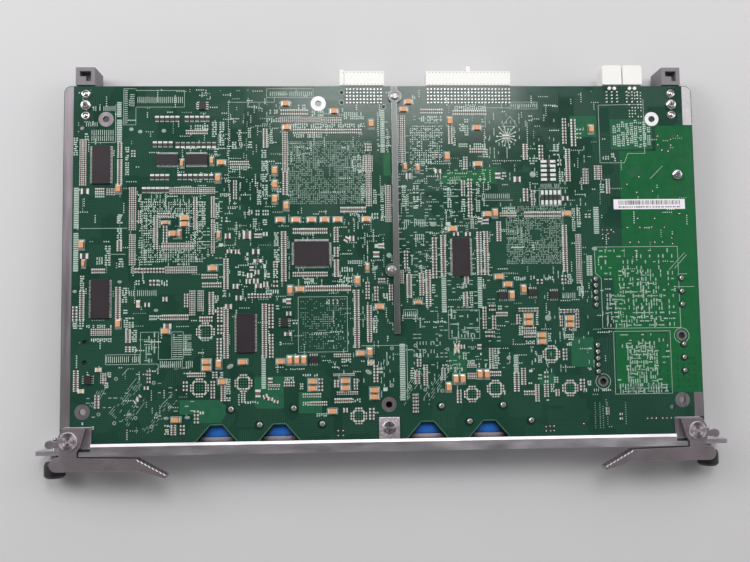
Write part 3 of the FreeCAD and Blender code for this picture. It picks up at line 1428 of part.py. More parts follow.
def check():
    """Stops before anything is written if an object failed or a shape is broken."""
    for thing in doc.Objects:
        if "Invalid" in thing.State or "Error" in thing.State:
            raise RuntimeError(f"{thing.Name} failed: {thing.State}")
    for piece in nodes:
        if piece.Shape.isNull() or not piece.Shape.isValid():
            raise RuntimeError(f"{piece.Label} has no sound shape")


def write():
    """Writes each piece to its own file."""
    os.makedirs("parts", exist_ok=True)
    for piece in nodes:
        piece.Shape.exportStep(f"parts/{piece.Label}.step")


fill_sheets()
build()
check()
write()
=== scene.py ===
import math
import random

import bpy
from mathutils import Euler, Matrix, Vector


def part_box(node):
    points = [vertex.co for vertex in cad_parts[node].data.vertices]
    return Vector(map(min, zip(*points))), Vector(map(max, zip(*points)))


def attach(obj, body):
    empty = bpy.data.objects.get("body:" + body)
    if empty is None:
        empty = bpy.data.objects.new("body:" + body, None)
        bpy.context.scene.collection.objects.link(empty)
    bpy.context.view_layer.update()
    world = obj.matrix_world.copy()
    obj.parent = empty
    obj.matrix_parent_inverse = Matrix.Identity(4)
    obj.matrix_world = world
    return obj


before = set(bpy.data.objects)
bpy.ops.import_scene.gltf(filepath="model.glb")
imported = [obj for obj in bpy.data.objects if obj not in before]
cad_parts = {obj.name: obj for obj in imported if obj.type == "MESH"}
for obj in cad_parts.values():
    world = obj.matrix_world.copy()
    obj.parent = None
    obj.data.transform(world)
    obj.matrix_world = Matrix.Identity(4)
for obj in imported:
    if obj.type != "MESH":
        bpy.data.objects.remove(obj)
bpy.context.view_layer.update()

# Places are in millimetres: x from the card's middle, y from the inner face of the panel's plate
# towards the backplane, z from the table. Blender works in metres.
MM = 0.001
PLATE_Y = -102.3
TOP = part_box("circuit_board")[1].z / MM
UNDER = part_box("circuit_board")[0].z / MM
SEED = 7
chance = random.Random(SEED)

# Heights of flat layers over the solder face
POUR = 0.02
PLANE = POUR * 1.3
SUNK = 0.032
SILK = 0.045
PAD = 0.05
DOT = 0.06


# Shapes gathered into pieces

# Part of a level by which a dome stops short of its pole
BLUNT = 0.6


def rectangle(x, y, wide, deep, turn=0.0):
    """Corners of a rectangle round x, y, turned by degrees."""
    cosine, sine = math.cos(math.radians(turn)), math.sin(math.radians(turn))
    corners = [(-wide / 2, -deep / 2), (wide / 2, -deep / 2), (wide / 2, deep / 2), (-wide / 2, deep / 2)]
    return [(x + a * cosine - b * sine, y + a * sine + b * cosine) for a, b in corners]


def circle(x, y, radius, sides):
    step = math.tau / sides
    return [(x + radius * math.cos(step * k), y + radius * math.sin(step * k)) for k in range(sides)]


def shrunk(outline, share):
    """The same outline drawn in towards its middle."""
    mid_x = sum(x for x, _ in outline) / len(outline)
    mid_y = sum(y for _, y in outline) / len(outline)
    return [(mid_x + (x - mid_x) * share, mid_y + (y - mid_y) * share) for x, y in outline]


class Heap:
    """Many small closed solids that become one piece."""

    def __init__(self):
        self.points = []
        self.faces = []

    def loft(self, loops, ring=False):
        """Skins a stack of equal loops; a ring joins the last loop to the first, else both ends close."""
        first = len(self.points)
        count = len(loops[0])
        for loop in loops:
            self.points.extend(loop)
        levels = len(loops) if ring else len(loops) - 1
        for level in range(levels):
            low = first + level * count
            high = first + (level + 1) % len(loops) * count
            for k in range(count):
                after = (k + 1) % count
                self.faces.append((low + k, low + after, high + after, high + k))
        if not ring:
            last = first + (len(loops) - 1) * count
            self.faces.append(tuple(range(first + count - 1, first - 1, -1)))
            self.faces.append(tuple(range(last, last + count)))

    def prism(self, outline, low, high, top_share=1.0):
        """A solid on an outline; a top share under 1 slopes its sides in."""
        upper = shrunk(outline, top_share) if top_share != 1.0 else outline
        self.loft([[(x, y, low) for x, y in outline], [(x, y, high) for x, y in upper]])

    def block(self, x, y, wide, deep, low, high, turn=0.0):
        self.prism(rectangle(x, y, wide, deep, turn), low, high)

    def pad(self, x, y, wide, deep, turn=0.0):
        """A flat pad on the solder face."""
        self.block(x, y, wide, deep, TOP, TOP + PAD, turn)

    def disc(self, x, y, radius, low, high, sides, top_share=1.0):
        self.prism(circle(x, y, radius, sides), low, high, top_share)

    def dot(self, x, y, radius, sides, top_share=0.75, rise=DOT):
        """A flat disc on the solder face."""
        self.disc(x, y, radius, TOP, TOP + rise, sides, top_share)

    def ring(self, x, y, inner, outer, rise, sides):
        """A flat ring on the solder face."""
        wide, narrow = circle(x, y, outer, sides), circle(x, y, inner, sides)
        self.loft([
            [(a, b, TOP) for a, b in wide],
            [(a, b, TOP + rise) for a, b in wide],
            [(a, b, TOP + rise) for a, b in narrow],
            [(a, b, TOP) for a, b in narrow],
        ], ring=True)

    def dome(self, x, y, radius, low, rise, sides, levels):
        """A low rounded blob."""
        loops = []
        for level in range(levels + 1):
            tilt = math.pi / 2 * level / (levels + BLUNT)
            loops.append([(a, b, low + rise * math.sin(tilt))
                          for a, b in circle(x, y, radius * math.cos(tilt), sides)])
        self.loft(loops)

    def stroke(self, start, end, width, low=TOP, high=TOP + SILK):
        """A straight bar from one place to another, as thin as print unless heights are given."""
        run, rise = end[0] - start[0], end[1] - start[1]
        turn = math.degrees(math.atan2(rise, run))
        middle_x, middle_y = (start[0] + end[0]) / 2, (start[1] + end[1]) / 2
        self.block(middle_x, middle_y, math.hypot(run, rise) + width, width, low, high, turn)

    def profile(self, x, y, toward, width, points):
        """Extrudes an outline of distance and height pairs, which runs out from x, y in one direction."""
        out_x, out_y = toward
        side_x, side_y = -out_y * width / 2, out_x * width / 2
        loops = []
        for sign in (1, -1):
            loops.append([(x + out_x * reach + sign * side_x, y + out_y * reach + sign * side_y, z)
                          for reach, z in points])
        self.loft(loops)


def turned_over(heap):
    """The same solids on the component face, mirrored through the board's middle."""
    made = Heap()
    made.points = [(x, y, UNDER + TOP - z) for x, y, z in heap.points]
    made.faces = [face[::-1] for face in heap.faces]
    return made


def placed(name, heap, material):
    """Puts a gathered heap into the scene as one object."""
    mesh = bpy.data.meshes.new(name)
    mesh.from_pydata([(x * MM, (y + PLATE_Y) * MM, z * MM) for x, y, z in heap.points], [], heap.faces)
    mesh.update()
    mesh.materials.append(material)
    obj = bpy.data.objects.new(name, mesh)
    bpy.context.scene.collection.objects.link(obj)
    return obj


def piece(name, heap, material, body="card", smooth=False):
    """Makes a gathered heap into one piece that rides on a body."""
    obj = placed(name, heap, material)
    if smooth:
        obj.data.polygons.foreach_set("use_smooth", [True] * len(obj.data.polygons))
    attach(obj, body)


def solids_of(name):
    """Lowest and highest corners of a node's separate solids, in millimetres from the plate."""
    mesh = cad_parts[name].data
    keys = [tuple(round(c / MM, 2) for c in vertex.co) for vertex in mesh.vertices]
    root = {key: key for key in keys}

    def find(key):
        while root[key] != key:
            root[key] = root[root[key]]
            key = root[key]
        return key

    for polygon in mesh.polygons:
        corners = [keys[index] for index in polygon.vertices]
        for corner in corners[1:]:
            root[find(corner)] = find(corners[0])
    groups = {}
    for key in root:
        groups.setdefault(find(key), []).append(key)
    boxes = []
    for points in groups.values():
        low = [min(point[axis] for point in points) for axis in range(3)]
        high = [max(point[axis] for point in points) for axis in range(3)]
        low[1] -= PLATE_Y
        high[1] -= PLATE_Y
        boxes.append((low, high))
    return sorted(boxes)


def middle_of(box):
    low, high = box
    return (low[0] + high[0]) / 2, (low[1] + high[1]) / 2


def halves_of(box):
    """Half the width and half the depth of a box."""
    low, high = box
    return (high[0] - low[0]) / 2, (high[1] - low[1]) / 2


def spread(first, last, step):
    """Evenly spaced places from first to last."""
    count = max(1, round(abs(last - first) / step))
    return [first + (last - first) * k / count for k in range(count + 1)]


def lanes_of(count, pitch):
    """Places of equal lanes on both sides of a middle line."""
    return [(lane - (count - 1) / 2) * pitch for lane in range(count)]


# Materials

# How far the bevelled normal turns from flat faces to sharp edges, as a cosine
EDGE_SPAN = (0.86, 0.985)
LEVEL_SPAN = (0.35, 0.9)


class Nodes:
    """A short way to write the node tree of one material."""

    def __init__(self, name):
        self.material = bpy.data.materials.new(name)
        self.material.use_nodes = True
        self.tree = self.material.node_tree
        self.shader = self.tree.nodes["Principled BSDF"]
        self.place = self.add("ShaderNodeTexCoord").outputs["Object"]

    def add(self, kind, **settings):
        made = self.tree.nodes.new(kind)
        for key, setting in settings.items():
            setattr(made, key, setting)
        return made

    def feed(self, socket, source):
        """Links a socket to another node, or sets its value."""
        if isinstance(source, bpy.types.NodeSocket):
            self.tree.links.new(source, socket)
        else:
            socket.default_value = source

    def put(self, made, **inputs):
        """Feeds inputs by name; an underscore stands for a space."""
        for key, source in inputs.items():
            self.feed(made.inputs[key.replace("_", " ")], source)
        return made

    def stretched(self, scale):
        """Object places multiplied along each axis."""
        return self.put(self.add("ShaderNodeMapping"), Vector=self.place, Scale=scale).outputs["Vector"]

    def noise(self, vector, scale, detail=3.0, roughness=0.55):
        made = self.put(self.add("ShaderNodeTexNoise"), Vector=vector, Scale=scale, Detail=detail,
                        Roughness=roughness)
        return made.outputs["Fac"]

    def span(self, source, low, high, from_low=0.3, from_high=0.7):
        """Maps a number onto a new range."""
        made = self.put(self.add("ShaderNodeMapRange"), Value=source, From_Min=from_low, From_Max=from_high,
                        To_Min=low, To_Max=high)
        return made.outputs["Result"]

    def math(self, operation, first, second=0.0):
        made = self.add("ShaderNodeMath", operation=operation)
        for socket, source in zip(made.inputs, (first, second)):
            self.feed(socket, source)
        return made.outputs["Value"]

    def vector(self, operation, *sources):
        made = self.add("ShaderNodeVectorMath", operation=operation)
        for socket, source in zip(made.inputs, sources):
            self.feed(socket, source)
        return made

    def mix(self, share, dark, bright):
        """A colour between two colours."""
        made = self.add("ShaderNodeMix", data_type="RGBA")
        self.put(made, Factor=share)
        for key, source in (("A", dark), ("B", bright)):
            linked = isinstance(source, bpy.types.NodeSocket)
            self.feed(made.inputs[key], source if linked else (*source, 1.0))
        return made.outputs["Result"]

    def bump(self, height, strength, distance):
        made = self.put(self.add("ShaderNodeBump"), Height=height, Strength=strength, Distance=distance)
        self.put(self.shader, Normal=made.outputs["Normal"])

    def edges(self, radius):
        """A number near 1 along sharp edges and 0 on flats."""
        rounded = self.put(self.add("ShaderNodeBevel", samples=4), Radius=radius)
        straight = self.add("ShaderNodeNewGeometry")
        likeness = self.vector("DOT_PRODUCT", rounded.outputs["Normal"], straight.outputs["Normal"])
        return self.span(likeness.outputs["Value"], 1.0, 0.0, *EDGE_SPAN)

    def open_sky(self, reach):
        """A number near 1 in the open and low where solids stand close over the surface."""
        return self.put(self.add("ShaderNodeAmbientOcclusion", samples=8), Distance=reach).outputs["AO"]

    def facing_up(self):
        """A number that is 1 on level faces and 0 on steep ones."""
        geometry = self.add("ShaderNodeNewGeometry")
        split = self.put(self.add("ShaderNodeSeparateXYZ"), Vector=geometry.outputs["Normal"])
        return self.span(split.outputs["Z"], 0.0, 1.0, *LEVEL_SPAN)


def tinted(colour, factor):
    return tuple(min(1.0, channel * factor) for channel in colour)


# Colours, linear

# Colour of the painted shade in deep places
PAINTED_SHADE = (0.012, 0.008, 0.012)
MASK_DARK = (0.010, 0.045, 0.029)
MASK_TRACE = (0.026, 0.085, 0.056)
MASK_BRIGHT = (0.012, 0.115, 0.040)
SILK_WHITE = (0.46, 0.57, 0.50)
TIN = (0.72, 0.72, 0.70)
ORANGE = (0.70, 0.33, 0.15)
BLUE = (0.019, 0.240, 0.896)

# Grain of a finish: shares of fine and broad noise, scale of the broad one, depth in metres
FINE_SHARE = 0.6
BROAD_SHARE = 0.4
BROAD_SCALE = 0.06
GRAIN_DEPTH = 0.00004
# Spread of the roughness and its least value
ROUGH_SPREAD = 0.08
SMOOTHEST = 0.05
# Width of the brightened edges in metres, which stand partly for worn metal and partly for a painted
# highlight, and how open a place is where the painted shade in deep places ends and begins
EDGE_WEAR_AND_GLINT = 0.0003
PAINTED_SHADE_SPAN = (0.42, 0.64)


def finish(name, colour, rough, metal=0.0, tone=0.15, grain=900.0, stretch=(1, 1, 1), bump=0.15,
           gloss=0.5, wear_and_glint=None, steep=None, shade=None):
    """A surface whose tone, gloss and height follow one noise.

    It may have brightened edges, partly worn metal and partly a painted highlight; painted shade on its steep
    sides; and painted shade in deep places.
    """
    made = Nodes(name)
    fine = made.noise(made.stretched(stretch), grain)
    broad = made.noise(made.place, grain * BROAD_SCALE, 2.0)
    shares = (made.math("MULTIPLY", fine, FINE_SHARE), made.math("MULTIPLY", broad, BROAD_SHARE))
    both = made.math("ADD", *shares)
    base = made.mix(made.span(both, 0.0, 1.0), tinted(colour, 1.0 - tone), tinted(colour, 1.0 + tone))
    # Painted shade: steep sides take a darker colour for the shade that falls on them
    if steep:
        base = made.mix(made.facing_up(), steep, base)
    # Brightened edges: partly worn metal, partly a painted highlight where edges catch the light
    if wear_and_glint:
        base = made.mix(made.edges(EDGE_WEAR_AND_GLINT), base, wear_and_glint)
    # Painted shade: the colour darkens towards a dark tone where other solids close over the surface
    if shade:
        base = made.mix(made.span(made.open_sky(shade), 0.0, 1.0, *PAINTED_SHADE_SPAN), PAINTED_SHADE, base)
    roughness = made.span(both, max(SMOOTHEST, rough - ROUGH_SPREAD), min(1.0, rough + ROUGH_SPREAD))
    made.put(made.shader, Base_Color=base, Roughness=roughness, Metallic=metal, Specular_IOR_Level=gloss)
    made.bump(fine, bump, GRAIN_DEPTH)
    return made.material


# Traces under the mask: scale of their patches and lines, the part of a wave that is a line, and the
# draws over which a patch stands upright, slants or shows its lines
PATCH_SCALE = 75.0
LINE_SCALE = 300.0
LINE_SPAN = (0.6, 0.8)
UPRIGHT_OVER = 0.5
SLANTED_OVER = 0.72
SHOWN_OVER = 0.3
TRACE_SHARE = 0.8
# Clouds in the mask: scale, the noise that they span, and how much brighter they are
CLOUD_SCALE = 28.0
CLOUD_SPAN = (0.35, 0.65)
CLOUD_BRIGHT = 1.35
MASK_ROUGH = (0.11, 0.17)
MASK_GRAIN = 300.0
MASK_BUMP = 0.25


def board_material():
    """Green mask over traces: bundles of fine lines whose direction changes from patch to patch."""
    made = Nodes("solder_mask")
    patches = made.put(made.add("ShaderNodeTexVoronoi", distance="CHEBYCHEV"), Vector=made.place,
                       Scale=PATCH_SCALE)
    split = made.put(made.add("ShaderNodeSeparateColor"), Color=patches.outputs["Color"])
    lines = []
    for axis, turn in (("X", 0.0), ("Y", 0.0), ("X", math.pi / 4)):
        mapping = made.put(made.add("ShaderNodeMapping"), Rotation=(0.0, 0.0, turn), Vector=made.place)
        wave = made.put(made.add("ShaderNodeTexWave", wave_type="BANDS", bands_direction=axis),
                        Vector=mapping.outputs["Vector"], Scale=LINE_SCALE, Distortion=0.0)
        lines.append(made.span(wave.outputs["Fac"], 0.0, 1.0, *LINE_SPAN))
    upright = made.math("GREATER_THAN", split.outputs["Red"], UPRIGHT_OVER)
    slanted = made.math("GREATER_THAN", split.outputs["Green"], SLANTED_OVER)
    shown = made.math("GREATER_THAN", split.outputs["Blue"], SHOWN_OVER)
    straight = made.put(made.add("ShaderNodeMix"), Factor=upright, A=lines[0], B=lines[1])
    bundle = made.put(made.add("ShaderNodeMix"), Factor=slanted, A=straight.outputs["Result"], B=lines[2])
    trace = made.math("MULTIPLY", bundle.outputs["Result"], shown)
    cloud = made.span(made.noise(made.place, CLOUD_SCALE, 2.0), 0.0, 1.0, *CLOUD_SPAN)
    base = made.mix(cloud, MASK_DARK, tinted(MASK_DARK, CLOUD_BRIGHT))
    colour = made.mix(made.math("MULTIPLY", trace, TRACE_SHARE), base, MASK_TRACE)
    roughness = made.span(made.noise(made.place, MASK_GRAIN), *MASK_ROUGH)
    made.put(made.shader, Base_Color=colour, Roughness=roughness, Specular_IOR_Level=0.5)
    made.bump(trace, MASK_BUMP, GRAIN_DEPTH)
    return made.material


# Tool marks: fine and coarse waves to the metre, share of the coarse one, depth in metres
FINE_MARKS = 16000.0
COARSE_MARKS = 3100.0
COARSE_SHARE = 0.5
MARK_DEPTH = 0.00003
MARK_SPAN = (-1.5, 1.5)
MARK_TONES = (0.7, 1.15)
MARK_GRAIN = 700.0
# Roughness under and over the stated one, heights of turned and brushed marks
MARK_UNDER = 0.06
MARK_OVER = 0.1
TURNED_BUMP = 0.35
BRUSHED_BUMP = 0.1
BRUSH_SPREAD = 0.95


def turned_metal(name, colour, centres, rough, brushed=False):
    """Metal with concentric tool marks round the nearest of several centres, in millimetres.

    A brushed one also spreads its shine across the marks, round the middle of its own node.
    """
    made = Nodes(name)
    nearest = None
    for x, y in centres:
        shift = made.vector("SUBTRACT", made.place, (x * MM, (y + PLATE_Y) * MM, 0.0))
        flat = made.vector("MULTIPLY", shift.outputs["Vector"], (1.0, 1.0, 0.0))
        reach = made.vector("LENGTH", flat.outputs["Vector"]).outputs["Value"]
        nearest = reach if nearest is None else made.math("MINIMUM", nearest, reach)
    height = made.math("SINE", made.math("MULTIPLY", nearest, COARSE_MARKS))
    if not brushed:
        rings = made.math("SINE", made.math("MULTIPLY", nearest, FINE_MARKS))
        height = made.math("ADD", rings, made.math("MULTIPLY", height, COARSE_SHARE))
    dark, bright = [tinted(colour, tone) for tone in MARK_TONES]
    base = made.mix(made.span(height, 0.0, 1.0, *MARK_SPAN), dark, bright)
    roughness = made.span(made.noise(made.place, MARK_GRAIN), rough - MARK_UNDER, rough + MARK_OVER)
    made.put(made.shader, Base_Color=base, Roughness=roughness, Metallic=1.0)
    if brushed:
        tangent = made.add("ShaderNodeTangent", direction_type="RADIAL", axis="Z")
        made.put(made.shader, Anisotropic=BRUSH_SPREAD, Tangent=tangent.outputs["Tangent"])
    made.bump(height, BRUSHED_BUMP if brushed else TURNED_BUMP, MARK_DEPTH)
    return made.material


PIVOT = (177.6, 5.8)
PIVOTS = [(-PIVOT[0], PIVOT[1]), PIVOT]
MIDDLE_RIVET = (1.2, 10.4)
BAR_LUGS = [(7.0, 201.5), (3.9, 99.9)]
# How far round a port shell or receptacle the painted shade reaches, in metres
PORT_PAINTED_SHADE = 0.012

mask = board_material()
pour_green = finish("mask_over_copper", MASK_BRIGHT, 0.2, tone=0.12, grain=260.0, gloss=0.3)
dull_green = finish("mask_over_plane", (0.022, 0.115, 0.058), 0.2, tone=0.12, grain=260.0, gloss=0.3)
# Dark green of the painted shadows set beside the single solder joints
joint_shadow_green = finish("painted_joint_shadow", (0.004, 0.024, 0.013), 0.3, grain=600.0)
sunk_green = finish("mask_over_vias", (0.003, 0.028, 0.013), 0.45, grain=600.0)
rim_green = finish("mask_rim", (0.060, 0.180, 0.102), 0.4, grain=600.0)
silk_ink = finish("silkscreen", SILK_WHITE, 0.6, tone=0.2, grain=1500.0)
print_pale = finish("pale_print", (0.32, 0.44, 0.37), 0.55, tone=0.2, grain=1500.0)
tin = finish("tinned", TIN, 0.3, metal=0.9, tone=0.12, grain=1200.0)
solder = finish("solder", (0.85, 0.85, 0.84), 0.14, metal=0.9, tone=0.08, bump=0.2)
via_tin = finish("via_tin", (0.58, 0.68, 0.62), 0.45, metal=0.1, tone=0.25, grain=700.0)
via_dim = finish("via_under_mask", (0.28, 0.38, 0.32), 0.45, tone=0.3, grain=700.0)
pad_tin = finish("pad_solder", (0.70, 0.72, 0.69), 0.4, metal=0.15, tone=0.2, grain=1100.0)
chip_black = finish("chip_moulding", (0.022, 0.016, 0.020), 0.5, tone=0.25, grain=1800.0, bump=0.35,
                    gloss=0.35)
small_black = finish("small_chip_moulding", (0.012, 0.011, 0.013), 0.5, tone=0.25, grain=1800.0, bump=0.35)
# The chip parts' steep sides are darker: painted shade
ceramic = finish("ceramic_parts", (0.22, 0.155, 0.13), 0.5, tone=0.3, grain=700.0, steep=(0.07, 0.045, 0.04))
dark_ceramic = finish("large_ceramic_parts", (0.15, 0.10, 0.09), 0.5, tone=0.3, grain=700.0,
                      steep=(0.05, 0.035, 0.03))
resistor = finish("resistor_parts", (0.045, 0.038, 0.038), 0.4, tone=0.3, grain=700.0)
beige = finish("beige_parts", (0.56, 0.42, 0.28), 0.5, tone=0.12)
# The capacitors' steep sides are darker brown: painted shade
orange = finish("capacitor_moulding", ORANGE, 0.45, tone=0.12, steep=(0.26, 0.10, 0.05))
land_grey = finish("dull_land", (0.30, 0.37, 0.33), 0.4, metal=0.2, tone=0.25)
# Edges of the panel, levers and bar are brightened: partly worn metal, partly a painted highlight
panel_metal = finish("panel_brushed", (0.66, 0.62, 0.665), 0.36, metal=1.0, tone=0.3, grain=170.0,
                     stretch=(0.3, 1, 1), bump=0.12, wear_and_glint=(0.85, 0.85, 0.87))
lever_metal = finish("lever_cast", (0.29, 0.25, 0.27), 0.4, metal=0.8, tone=0.22, grain=1500.0,
                     bump=0.3, wear_and_glint=(0.62, 0.61, 0.63))
bracket_metal = finish("bracket_satin", (0.42, 0.38, 0.42), 0.36, metal=0.95, tone=0.16, grain=420.0,
                       stretch=(1, 0.1, 1))
middle_metal = finish("middle_satin", (0.66, 0.58, 0.64), 0.42, metal=0.8, tone=0.5)
bar_metal = finish("bar_satin", (0.145, 0.155, 0.15), 0.36, metal=0.9, tone=0.16, grain=420.0,
                   stretch=(1, 0.05, 1), wear_and_glint=(0.75, 0.76, 0.76))
strip_metal = finish("edge_strip_tinned", (0.32, 0.285, 0.31), 0.36, metal=0.9, tone=0.14, grain=380.0,
                     stretch=(1, 0.06, 1))
pale_tin = finish("pale_strip_tinned", (0.52, 0.50, 0.52), 0.4, metal=0.5, tone=0.16, grain=500.0)
eyelet_metal = finish("eyelet_plated", (0.50, 0.48, 0.49), 0.22, metal=1.0, tone=0.1)
# Tin of the rear rings, brighter than the grey rings as a painted reflection of the lamps behind the card
sheen_lit_tin = finish("tin_with_painted_sheen", (0.74, 0.73, 0.74), 0.42, metal=0.35, tone=0.1, grain=500.0)
block_metal = finish("block_aluminium", (0.58, 0.58, 0.59), 0.4, metal=1.0, tone=0.1, grain=500.0,
                     stretch=(0.1, 1, 1))
knob_black = finish("knob_moulding", (0.012, 0.011, 0.013), 0.42, tone=0.25, grain=1300.0, bump=0.3)
guide_grey = finish("guide_moulding", (0.20, 0.185, 0.205), 0.5, tone=0.12, grain=1000.0, bump=0.25)
white_plastic = finish("connector_moulding", (0.84, 0.83, 0.80), 0.42, tone=0.04, grain=800.0)
# The receptacles and port lips darken where the board closes over them: painted shade
blue_plastic = finish("receptacle_moulding", BLUE, 0.35, tone=0.12, grain=800.0, shade=PORT_PAINTED_SHADE)
lip_metal = finish("port_lip", (0.60, 0.55, 0.60), 0.4, metal=0.3, tone=0.08, grain=300.0, shade=PORT_PAINTED_SHADE)
shell_metal = finish("shield_plated", (0.62, 0.61, 0.65), 0.3, metal=1.0, tone=0.08, grain=300.0,
                     stretch=(0.08, 1, 1))
clear_plastic = finish("light_guide_clear", (0.78, 0.80, 0.80), 0.15, tone=0.04, grain=500.0)
sink_metal = finish("sink_anodised", (0.50, 0.50, 0.52), 0.4, metal=1.0, tone=0.1, grain=500.0,
                    stretch=(1, 0.08, 1))
brick_black = finish("brick_coating", (0.045, 0.045, 0.048), 0.45, metal=0.2, tone=0.2, bump=0.3)
can_metal = finish("can_drawn", (0.66, 0.66, 0.67), 0.3, metal=1.0, tone=0.08, grain=400.0,
                   stretch=(1, 1, 0.08))
choke_green = finish("choke_coating", (0.03, 0.16, 0.06), 0.4, tone=0.2, grain=600.0, bump=0.3)
label_paper = finish("label_paper", (0.82, 0.80, 0.83), 0.6, tone=0.05)
label_ink = finish("label_ink", (0.12, 0.10, 0.14), 0.6, tone=0.2)
# Pale tone of the painted highlights on the lever teeth's crests
crest_highlight_metal = finish("painted_crest_highlights", (0.92, 0.90, 0.91), 0.4, grain=1500.0)
# Grey of the painted shade line at each connector's edge, and of its moulded ticks
gap_shade_and_mark_grey = finish("painted_gap_shade_and_marks", (0.30, 0.29, 0.30), 0.6)
# Dark tone of the painted shade in holes, round lead ends and in screw recesses
painted_hole_shade = finish("painted_recess_shade", (0.025, 0.024, 0.026), 0.6, tone=0.2)
pivot_metal = turned_metal("pivot_turned", (0.48, 0.43, 0.46), PIVOTS, 0.36, brushed=True)
rivet_metal = turned_metal("rivet_turned", (0.38, 0.35, 0.37), [MIDDLE_RIVET], 0.28, brushed=True)
lug_metal = turned_metal("lug_turned", (0.40, 0.38, 0.39), BAR_LUGS, 0.3)
screw_steel = finish("screw_steel", (0.54, 0.53, 0.54), 0.22, metal=1.0, tone=0.08, grain=1200.0)


# Materials and rounded edges of the CAD nodes

def sided(name):
    """Names of a left and a right node."""
    return [f"{name}_left", f"{name}_right"]


def numbered(name, count):
    """Names of nodes that are numbered from 1."""
    return [f"{name}_{number}" for number in range(1, count + 1)]


PORT_COUNT = 4
NODE_MATERIALS = [
    (panel_metal, ["front_panel"]),
    (mask, ["circuit_board"]),
    (screw_steel, ["panel_screws", "captive_ferrules", "board_screws", "board_nut", *sided("captive_screw")]),
    (middle_metal, ["middle_bracket"]),
    (rivet_metal, ["middle_rivet"]),
    (bar_metal, ["stiffener_bar"]),
    (lug_metal, ["stiffener_rivets"]),
    (eyelet_metal, ["guide_eyelets"]),
    (white_plastic, ["signal_connector_a", "signal_connector_b", *numbered("power_connector", 2)]),
    (tin, ["signal_tails_a", "signal_tails_b", "power_tails"]),
    (clear_plastic, ["light_guides"]),
    (chip_black, ["memory_chips", "driver_chips", "flat_pack_chip", "ball_arrays"]),
    (small_black, ["small_chips"]),
    (orange, ["chip_capacitors"]),
    (sink_metal, ["heat_sinks"]),
    (brick_black, numbered("power_module", 2)),
    (solder, ["solder_joints"]),
    (can_metal, ["bulk_capacitors"]),
    (choke_green, ["filter_choke"]),
    (lever_metal, sided("lever")),
    (pivot_metal, sided("pivot_pin")),
    (bracket_metal, sided("corner_bracket")),
    (block_metal, sided("corner_block")),
    (knob_black, sided("captive_knob")),
    (guide_grey, sided("guide_block")),
    (shell_metal, numbered("optical_module", PORT_COUNT)),
    (lip_metal, numbered("port_shell", PORT_COUNT)),
    (blue_plastic, numbered("fibre_receptacle", PORT_COUNT)),
]
# Edges that catch the light: width and nodes
SOFT_EDGES = [
    (0.15, ["memory_chips", "driver_chips"]),
    (0.2, ["middle_bracket"]),
    (0.25, ["chip_capacitors", *sided("corner_bracket")]),
    (0.3, sided("guide_block")),
    (0.35, sided("lever")),
]
WELD_GAP = 0.01
EDGE_STEPS = 2
SHARP_ANGLE = 40


def cover(name, material):
    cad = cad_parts[name].data
    cad.materials.clear()
    cad.materials.append(material)


def soften(name, width):
    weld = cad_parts[name].modifiers.new("weld", "WELD")
    weld.merge_threshold = WELD_GAP * MM
    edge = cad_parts[name].modifiers.new("edge", "BEVEL")
    edge.width = width * MM
    edge.segments = EDGE_STEPS
    edge.limit_method = "ANGLE"
    edge.angle_limit = math.radians(SHARP_ANGLE)


for material, names in NODE_MATERIALS:
    for name in names:
        cover(name, material)
for width, names in SOFT_EDGES:
    for name in names:
        soften(name, width)

# Copper pours under the mask

HOLE_RADIUS = 1.85
# Mounting holes beside the converters; the first one is inside a pour
POUR_HOLE = (172.05, 60.3)
BRICK_HOLE = (125.05, 34.4)
ROUND_STEPS = 12


def half_round(first, last):
    """Points of a half circle round the hole in the pour, between two angles in degrees."""
    x, y = POUR_HOLE
    made = []
    for step in range(ROUND_STEPS + 1):
        angle = math.radians(first + (last - first) * step / ROUND_STEPS)
        made.append((x + HOLE_RADIUS * math.cos(angle), y + HOLE_RADIUS * math.sin(angle)))
    return made


POURS = [
    [(133, 30), (183, 30), (183, POUR_HOLE[1]), *half_round(0, -180), (133, POUR_HOLE[1])],
    [(133, POUR_HOLE[1]), *half_round(180, 0), (183, POUR_HOLE[1]), (183, 112), (133, 112)],
    [(166, 27.5), (183, 27.5), (183, 30), (166, 30)],
    [(139, 112), (183, 112), (183, 184), (161, 184), (161, 169), (139, 169)],
    [(33, 150), (66, 150), (66, 159.8), (57, 159.8), (54, 157.3), (36, 157.3), (33, 152.5)],
    [(0, 155), (4, 155), (4, 168), (0, 168)],
    [(122, 95), (133, 95), (133, 112), (122, 112)],
]
DULL_POURS = [
    [(-109, 14.5), (-94, 14.5), (-91, 19), (-91, 24), (-95.5, 27.5), (-117, 27.5), (-117, 19.5),
     (-109, 19.5)],
    [(-73, 22), (-58.5, 22), (-58.5, 40), (-75, 40), (-75, 24)],
    [(-50, 19), (-37, 19), (-37, 31), (-50, 31)],
    [(107, 43), (120, 43), (120, 60), (107, 60)],
    [(88, 33), (97, 33), (97, 39), (88, 39)],
    [(36, 41), (46, 41), (46, 53), (36, 53)],
    [(110, 177.5), (126, 177.5), (126, 190), (110, 190)],
    [(134, 170), (159, 170), (159, 188), (134, 188)],
    [(142.5, 156), (145.5, 159.5), (151.5, 159.5), (154, 156.8), (151.5, 153.6), (145.5, 153.6)],
]


def copper_pours():
    for name, outlines, rise, material in (("copper_pours", POURS, POUR, pour_green),
                                           ("copper_planes", DULL_POURS, PLANE, dull_green)):
        heap = Heap()
        for outline in outlines:
            heap.prism(outline, TOP, TOP + rise)
        piece(name, heap, material)


copper_pours()

# Tinned strips along the board's edges, rings round its holes, and rims of the port notches

BOARD_HALF = 183.35
BOARD_REAR = 208.0
BOARD_FRONT = 0.3
CORNER = 4.0
CORNER_STEPS = 6
STRIP_IN = 0.3
